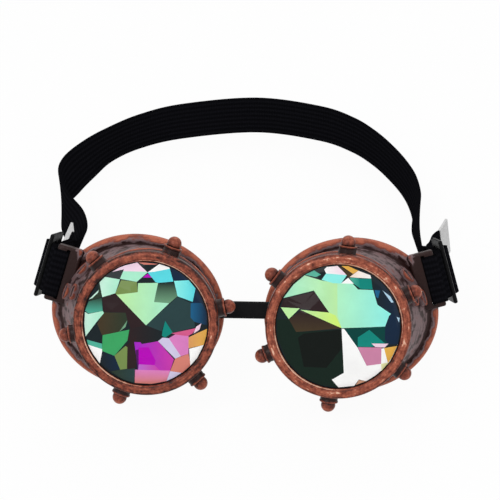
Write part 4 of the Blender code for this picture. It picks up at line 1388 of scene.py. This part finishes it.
def grain(tree, place, scale, detail=3):
    """Noise of a scale per metre, from 0 to 1."""
    return node(tree, "ShaderNodeTexNoise",
                {"Vector": place, "Scale": scale, "Detail": detail}).outputs["Fac"]


def ramp(tree, level, *stops):
    """Colours by level, each stop a place from 0 to 1 and a colour."""
    made = node(tree, "ShaderNodeValToRGB", {"Fac": level})
    points = made.color_ramp.elements
    while len(points) < len(stops):
        points.new(0.5)
    for point, (place, colour) in zip(points, stops):
        point.position = place
        point.color = (*colour, 1)
    return made.outputs["Color"]


def bump(tree, height, distance, strength):
    """A surface raised by a height map, for a shader's normal."""
    return node(tree, "ShaderNodeBump",
                {"Height": height, "Distance": distance, "Strength": strength}).outputs[0]


def wear_and_shade_level(tree, place, mottle_scale, mottle, fine, streak):
    """How rubbed the finish is: painted wear, mottled and streaked, and darkened in corners by ambient
    occlusion, which is painted shade.
    """
    level = node(tree, "ShaderNodeAttribute", attribute_name="wear_and_light").outputs["Fac"]
    around = node(tree, "ShaderNodeAttribute", attribute_name="around").outputs["Vector"]
    patches = grain(tree, place, mottle_scale, 4)
    specks = grain(tree, place, mottle_scale * SPECK_RATIO)
    streaks = grain(tree, around, STREAK_SCALE, 2)
    for cloud, share in ((patches, mottle), (specks, fine), (streaks, streak)):
        level = math_node(tree, "MULTIPLY_ADD", math_node(tree, "SUBTRACT", cloud, 0.5), share,
                          level)
    # Ambient occlusion darkens the colour in corners: painted shade
    corner = node(tree, "ShaderNodeAmbientOcclusion", {"Distance": SHADE_REACH},
                  samples=8).outputs["AO"]
    occlusion_shade = math_node(tree, "POWER", corner, SHADE_POWER)
    return math_node(tree, "MULTIPLY", level, occlusion_shade, clamp=True), specks, patches


def make_copper(name, *stops, metallic, clouds, rough):
    """A copper finish, coloured by how rubbed it is and by painted light and shade.

    Its roughness is given as what the patches add and the least.
    """
    tree, shader, place = finish_material(name, Metallic=metallic, Specular_IOR_Level=0.2)
    level, specks, patches = wear_and_shade_level(tree, place, **clouds)
    feed(tree, shader, {
        "Base Color": ramp(tree, level, *stops),
        "Roughness": math_node(tree, "MULTIPLY_ADD", patches, *rough),
        "Normal": bump(tree, specks, *COPPER_BUMP),
    })


def make_antique_copper():
    """Brown in its hollows, red on open faces, bright where rubbed and brightest at the painted highlight on
    the lip.
    """
    shades = colours()
    make_copper(
        "antique copper", (0.08, shades.copper_shade), (0.45, shades.copper_face),
        (0.86, shades.copper_worn), (1.0, shades.copper_bare_and_highlight), metallic=0.15, rough=(0.3, 0.24),
        clouds={"mottle_scale": 430, "mottle": 0.95, "fine": 0.75, "streak": 1.15})


def make_dusty_copper():
    """Greyish on a cup's wall, and copper on its rim and collar."""
    shades = colours()
    make_copper(
        "dusty copper", (0.0, shades.copper_shade), (0.1, shades.cup_wall_dark),
        (0.26, shades.cup_wall), (0.44, shades.cup_wall), (0.6, shades.copper_face),
        (0.95, shades.copper_worn), metallic=0.12, rough=(0.25, 0.32),
        clouds={"mottle_scale": 240, "mottle": 1.5, "fine": 0.3, "streak": 0.7})


def make_crystal():
    """Cut glass with a coloured back under a clear gloss: each facet's tint paints what it shows, the
    coating's colour together with painted reflection.
    """
    tree, shader, place = finish_material(
        "coated crystal", Roughness=0.15, Specular_IOR_Level=0.05, Coat_Weight=0.08,
        Coat_Roughness=0.02)
    tint = node(tree, "ShaderNodeAttribute", attribute_name="tint").outputs["Color"]
    cloud = math_node(tree, "MULTIPLY_ADD", grain(tree, place, CLOUD_SCALE, 2), *CLOUD_RANGE)
    colour = node(tree, "ShaderNodeHueSaturation", {"Color": tint, "Value": cloud})
    feed(tree, shader, {"Base Color": colour.outputs["Color"]})


def make_elastic():
    """Woven black elastic, its ribs along the strap and its threads across them."""
    tree, shader, _ = finish_material("black elastic", Roughness=0.7, Sheen_Weight=0.003,
                                      Sheen_Roughness=0.5, Specular_IOR_Level=0.0)
    weave_place = node(tree, "ShaderNodeUVMap").outputs["UV"]
    ribs, threads = (
        node(tree, "ShaderNodeTexWave",
             {"Vector": weave_place, "Scale": scale, "Distortion": distortion},
             bands_direction=across).outputs["Fac"]
        for across, scale, distortion in (("Y", RIB_SCALE, 0.0), ("X", THREAD_SCALE, 0.4))
    )
    height = math_node(tree, "MULTIPLY_ADD", threads, THREAD_SHARE, ribs)
    fuzz = grain(tree, weave_place, FUZZ_SCALE, 2)
    level = math_node(tree, "MULTIPLY", math_node(tree, "MULTIPLY", height, WEAVE_SHARE), fuzz,
                      clamp=True)
    shades = colours()
    feed(tree, shader, {
        "Base Color": ramp(tree, level, (0.1, shades.elastic), (0.9, shades.elastic_rib)),
        "Normal": bump(tree, height, *ELASTIC_BUMP),
    })


def make_plastic(name, base, lift, rough, gloss, scale):
    """Moulded plastic or rubber with a fine grain, paler where it is handled."""
    tree, shader, place = finish_material(name, Roughness=rough, Specular_IOR_Level=gloss)
    fine = grain(tree, place, scale, 4)
    broad = grain(tree, place, scale / BROAD_RATIO, 2)
    level = math_node(tree, "MULTIPLY_ADD", fine, 0.5, math_node(tree, "MULTIPLY", broad, 0.5))
    pale = tuple(min(value * lift + PALE_LIFT, 1) for value in base)
    feed(tree, shader, {
        "Base Color": ramp(tree, level, (0.3, base), (0.75, pale)),
        "Roughness": math_node(tree, "MULTIPLY_ADD", broad, 0.25, rough - 0.1),
        "Normal": bump(tree, fine, *PLASTIC_BUMP),
    })


def seen_directly(tree):
    """1 for rays from the camera, in gloss or through glass, and 0 for the rest."""
    path = node(tree, "ShaderNodeLightPath").outputs
    found = math_node(tree, "MAXIMUM", path["Is Camera Ray"], path["Is Glossy Ray"])
    return math_node(tree, "MAXIMUM", found, path["Is Transmission Ray"])


def build_world():
    """A white background, dimmer for the light that it throws than to the eye."""
    world = bpy.data.worlds.new("studio")
    bpy.context.scene.world = world
    world.use_nodes = True
    tree = world.node_tree
    strength = math_node(tree, "MULTIPLY_ADD", seen_directly(tree), 1 - UNSEEN_WORLD,
                         UNSEEN_WORLD)
    feed(tree, tree.nodes["Background"], {"Color": (1, 1, 1, 1), "Strength": strength})


def build_floor():
    """A pale floor that glows white to the eye."""
    floor = begin("floor", bpy.ops.mesh.primitive_grid_add, x_subdivisions=8, y_subdivisions=8,
                  size=FLOOR_SIZE)
    close()
    floor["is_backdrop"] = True
    made = bpy.data.materials.new("pale floor")
    made.use_nodes = True
    tree = made.node_tree
    shader = tree.nodes["Principled BSDF"]
    feed(tree, shader, {"Base Color": (FLOOR_GREY, FLOOR_GREY, FLOOR_GREY, 1), "Roughness": 0.9})
    glow = node(tree, "ShaderNodeEmission", {"Color": (1, 1, 1, 1), "Strength": 1.0})
    share = math_node(tree, "MULTIPLY", seen_directly(tree), FLOOR_GLOW)
    mixed = node(tree, "ShaderNodeMixShader", {0: share, 1: shader.outputs[0],
                                               2: glow.outputs[0]})
    feed(tree, tree.nodes["Material Output"], {"Surface": mixed.outputs[0]})
    floor.data.materials.append(made)


def build_lamps():
    """Soft lamps from above."""
    for name, place, size, power in LAMPS:
        bpy.ops.object.light_add(type="AREA", location=place)
        lamp = bpy.context.object
        lamp.name = name
        lamp.data.size = size
        lamp.data.energy = power
        aim = Vector(LAMP_AIM) - Vector(place)
        lamp.rotation_euler = aim.to_track_quat("-Z", "Y").to_euler()


def build_camera():
    """Looks down at the rings from the photograph's angle."""
    drop, yaw, roll = (math.radians(value) for value in (
        CAMERA_DROP_DEG, CAMERA_YAW_DEG, CAMERA_ROLL_DEG))
    ahead = Vector((-math.sin(yaw) * math.cos(drop), math.cos(yaw) * math.cos(drop),
                    -math.sin(drop)))
    level = Vector((math.cos(yaw), math.sin(yaw), 0))
    upright = level.cross(ahead)
    right = level * math.cos(roll) + upright * math.sin(roll)
    up = upright * math.cos(roll) - level * math.sin(roll)
    middle = sum((cup_frame(name).translation for name in SIDES), Vector()) / 2
    pixels = CAMERA_LENS_MM / SENSOR_MM * PICTURE_WIDTH
    across, down = (value - PICTURE_WIDTH / 2 for value in RINGS_MIDDLE_PIXEL)
    scale = CAMERA_DISTANCE / pixels
    place = middle - ahead * CAMERA_DISTANCE - right * across * scale + up * down * scale
    bpy.ops.object.camera_add(location=place)
    camera = bpy.context.object
    camera.matrix_world = frame_matrix(right, up, -ahead, place)
    camera.data.lens = CAMERA_LENS_MM
    camera.data.sensor_width = SENSOR_MM
    camera.data.clip_start, camera.data.clip_end = CAMERA_CLIP
    bpy.context.scene.camera = camera


def dress(node_name, material_name):
    """Gives a CAD node its finish."""
    kept = frame["nodes"][node_name]
    put_on(kept, material_name)


class GOGGLES_OT_stage(bpy.types.Operator):
    """Add the white studio, its lamps and the camera"""

    bl_idname = "goggles.stage"
    bl_label = "Studio"
    bl_options = {"REGISTER", "UNDO"}

    def execute(self, context):
        build_world()
        build_floor()
        build_lamps()
        build_camera()
        context.scene.view_settings.view_transform = "Standard"
        return {"FINISHED"}


class GOGGLES_OT_finishes(bpy.types.Operator):
    """Make the copper, crystal, elastic, rubber and plastic finishes"""

    bl_idname = "goggles.finishes"
    bl_label = "Finishes"
    bl_options = {"REGISTER", "UNDO"}

    def execute(self, context):
        make_antique_copper()
        make_dusty_copper()
        make_crystal()
        make_elastic()
        shades = colours()
        for name, base, lift, rough, gloss, scale in (
            ("black plastic", shades.plastic, 1.8, 0.34, 0.05, 2600),
            ("black rubber", shades.rubber, 1.8, 0.55, 0.08, 3200),
            ("grey plastic", shades.end_piece, 1.12, 0.4, 0.3, 1800),
        ):
            make_plastic(name, base, lift, rough, gloss, scale)
        return {"FINISHED"}


class GOGGLES_OT_eyecups(bpy.types.Operator):
    """Build both flared eyecups with their rims, vents and strap lugs"""

    bl_idname = "goggles.eyecups"
    bl_label = "Eyecups"
    bl_options = {"REGISTER", "UNDO"}

    def execute(self, context):
        for side_name in SIDES:
            build_eyecup(side_name)
        return {"FINISHED"}


class GOGGLES_OT_rings(bpy.types.Operator):
    """Turn both lens rings and set their stud bosses"""

    bl_idname = "goggles.rings"
    bl_label = "Lens rings"
    bl_options = {"REGISTER", "UNDO"}

    def execute(self, context):
        for side_name in SIDES:
            build_ring(side_name)
        return {"FINISHED"}


class GOGGLES_OT_studs(bpy.types.Operator):
    """Shape one ball-headed stud and set twelve of them"""

    bl_idname = "goggles.studs"
    bl_label = "Studs"
    bl_options = {"REGISTER", "UNDO"}

    def execute(self, context):
        for side_name in SIDES:
            build_studs(side_name)
        return {"FINISHED"}


class GOGGLES_OT_lenses(bpy.types.Operator):
    """Cut both crystal lenses, facet by facet"""

    bl_idname = "goggles.lenses"
    bl_label = "Lenses"
    bl_options = {"REGISTER", "UNDO"}

    def execute(self, context):
        for side_name in SIDES:
            build_lens(side_name)
        return {"FINISHED"}


class GOGGLES_OT_strap(bpy.types.Operator):
    """Weave the headband and both doubled ends through their slides"""

    bl_idname = "goggles.strap"
    bl_label = "Elastic strap"
    bl_options = {"REGISTER", "UNDO"}

    def execute(self, context):
        build_headband()
        for side_name in SIDES:
            build_strap_end(side_name)
        return {"FINISHED"}


class GOGGLES_OT_small_parts(bpy.types.Operator):
    """Finish the slides, strap end pieces, gaskets and nose strip"""

    bl_idname = "goggles.small_parts"
    bl_label = "Small parts"
    bl_options = {"REGISTER", "UNDO"}

    def execute(self, context):
        for side_name in SIDES:
            dress(f"{side_name}_slide", "black plastic")
            dress(f"{side_name}_strap_tip", "grey plastic")
            dress(f"{side_name}_lens_gasket", "black rubber")
        dress("nose_bridge", "black rubber")
        return {"FINISHED"}


class GOGGLES_PT_panel(bpy.types.Panel):
    """Lists the pieces of the goggles"""

    bl_idname = "GOGGLES_PT_panel"
    bl_label = "Costume goggles"
    bl_space_type = "VIEW_3D"
    bl_region_type = "UI"
    bl_category = "Goggles"

    def draw(self, context):
        layout = self.layout
        for operator in OPERATORS:
            layout.operator(operator.bl_idname)
        for group in (context.scene.goggles_sizes, context.scene.goggles_colours):
            column = layout.column()
            for name in group.__annotations__:
                column.prop(group, name)


OPERATORS = (
    GOGGLES_OT_stage, GOGGLES_OT_finishes, GOGGLES_OT_eyecups, GOGGLES_OT_rings,
    GOGGLES_OT_studs, GOGGLES_OT_lenses, GOGGLES_OT_strap, GOGGLES_OT_small_parts,
)
CLASSES = (GOGGLES_PG_sizes, GOGGLES_PG_colours, *OPERATORS, GOGGLES_PT_panel)


def register():
    for cls in CLASSES:
        bpy.utils.register_class(cls)
    bpy.types.Scene.goggles_sizes = PointerProperty(type=GOGGLES_PG_sizes)
    bpy.types.Scene.goggles_colours = PointerProperty(type=GOGGLES_PG_colours)


def unregister():
    del bpy.types.Scene.goggles_colours
    del bpy.types.Scene.goggles_sizes
    for cls in reversed(CLASSES):
        bpy.utils.unregister_class(cls)


def main():
    register()
    for operator in OPERATORS:
        group, name = operator.bl_idname.split(".")
        getattr(getattr(bpy.ops, group), name)()
    boxes = {"cad": CAD_BOX, "visual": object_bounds()}
    {name: [list(corner) for corner in box] for name, box in boxes.items()}


if __name__ == "__main__":
    main()
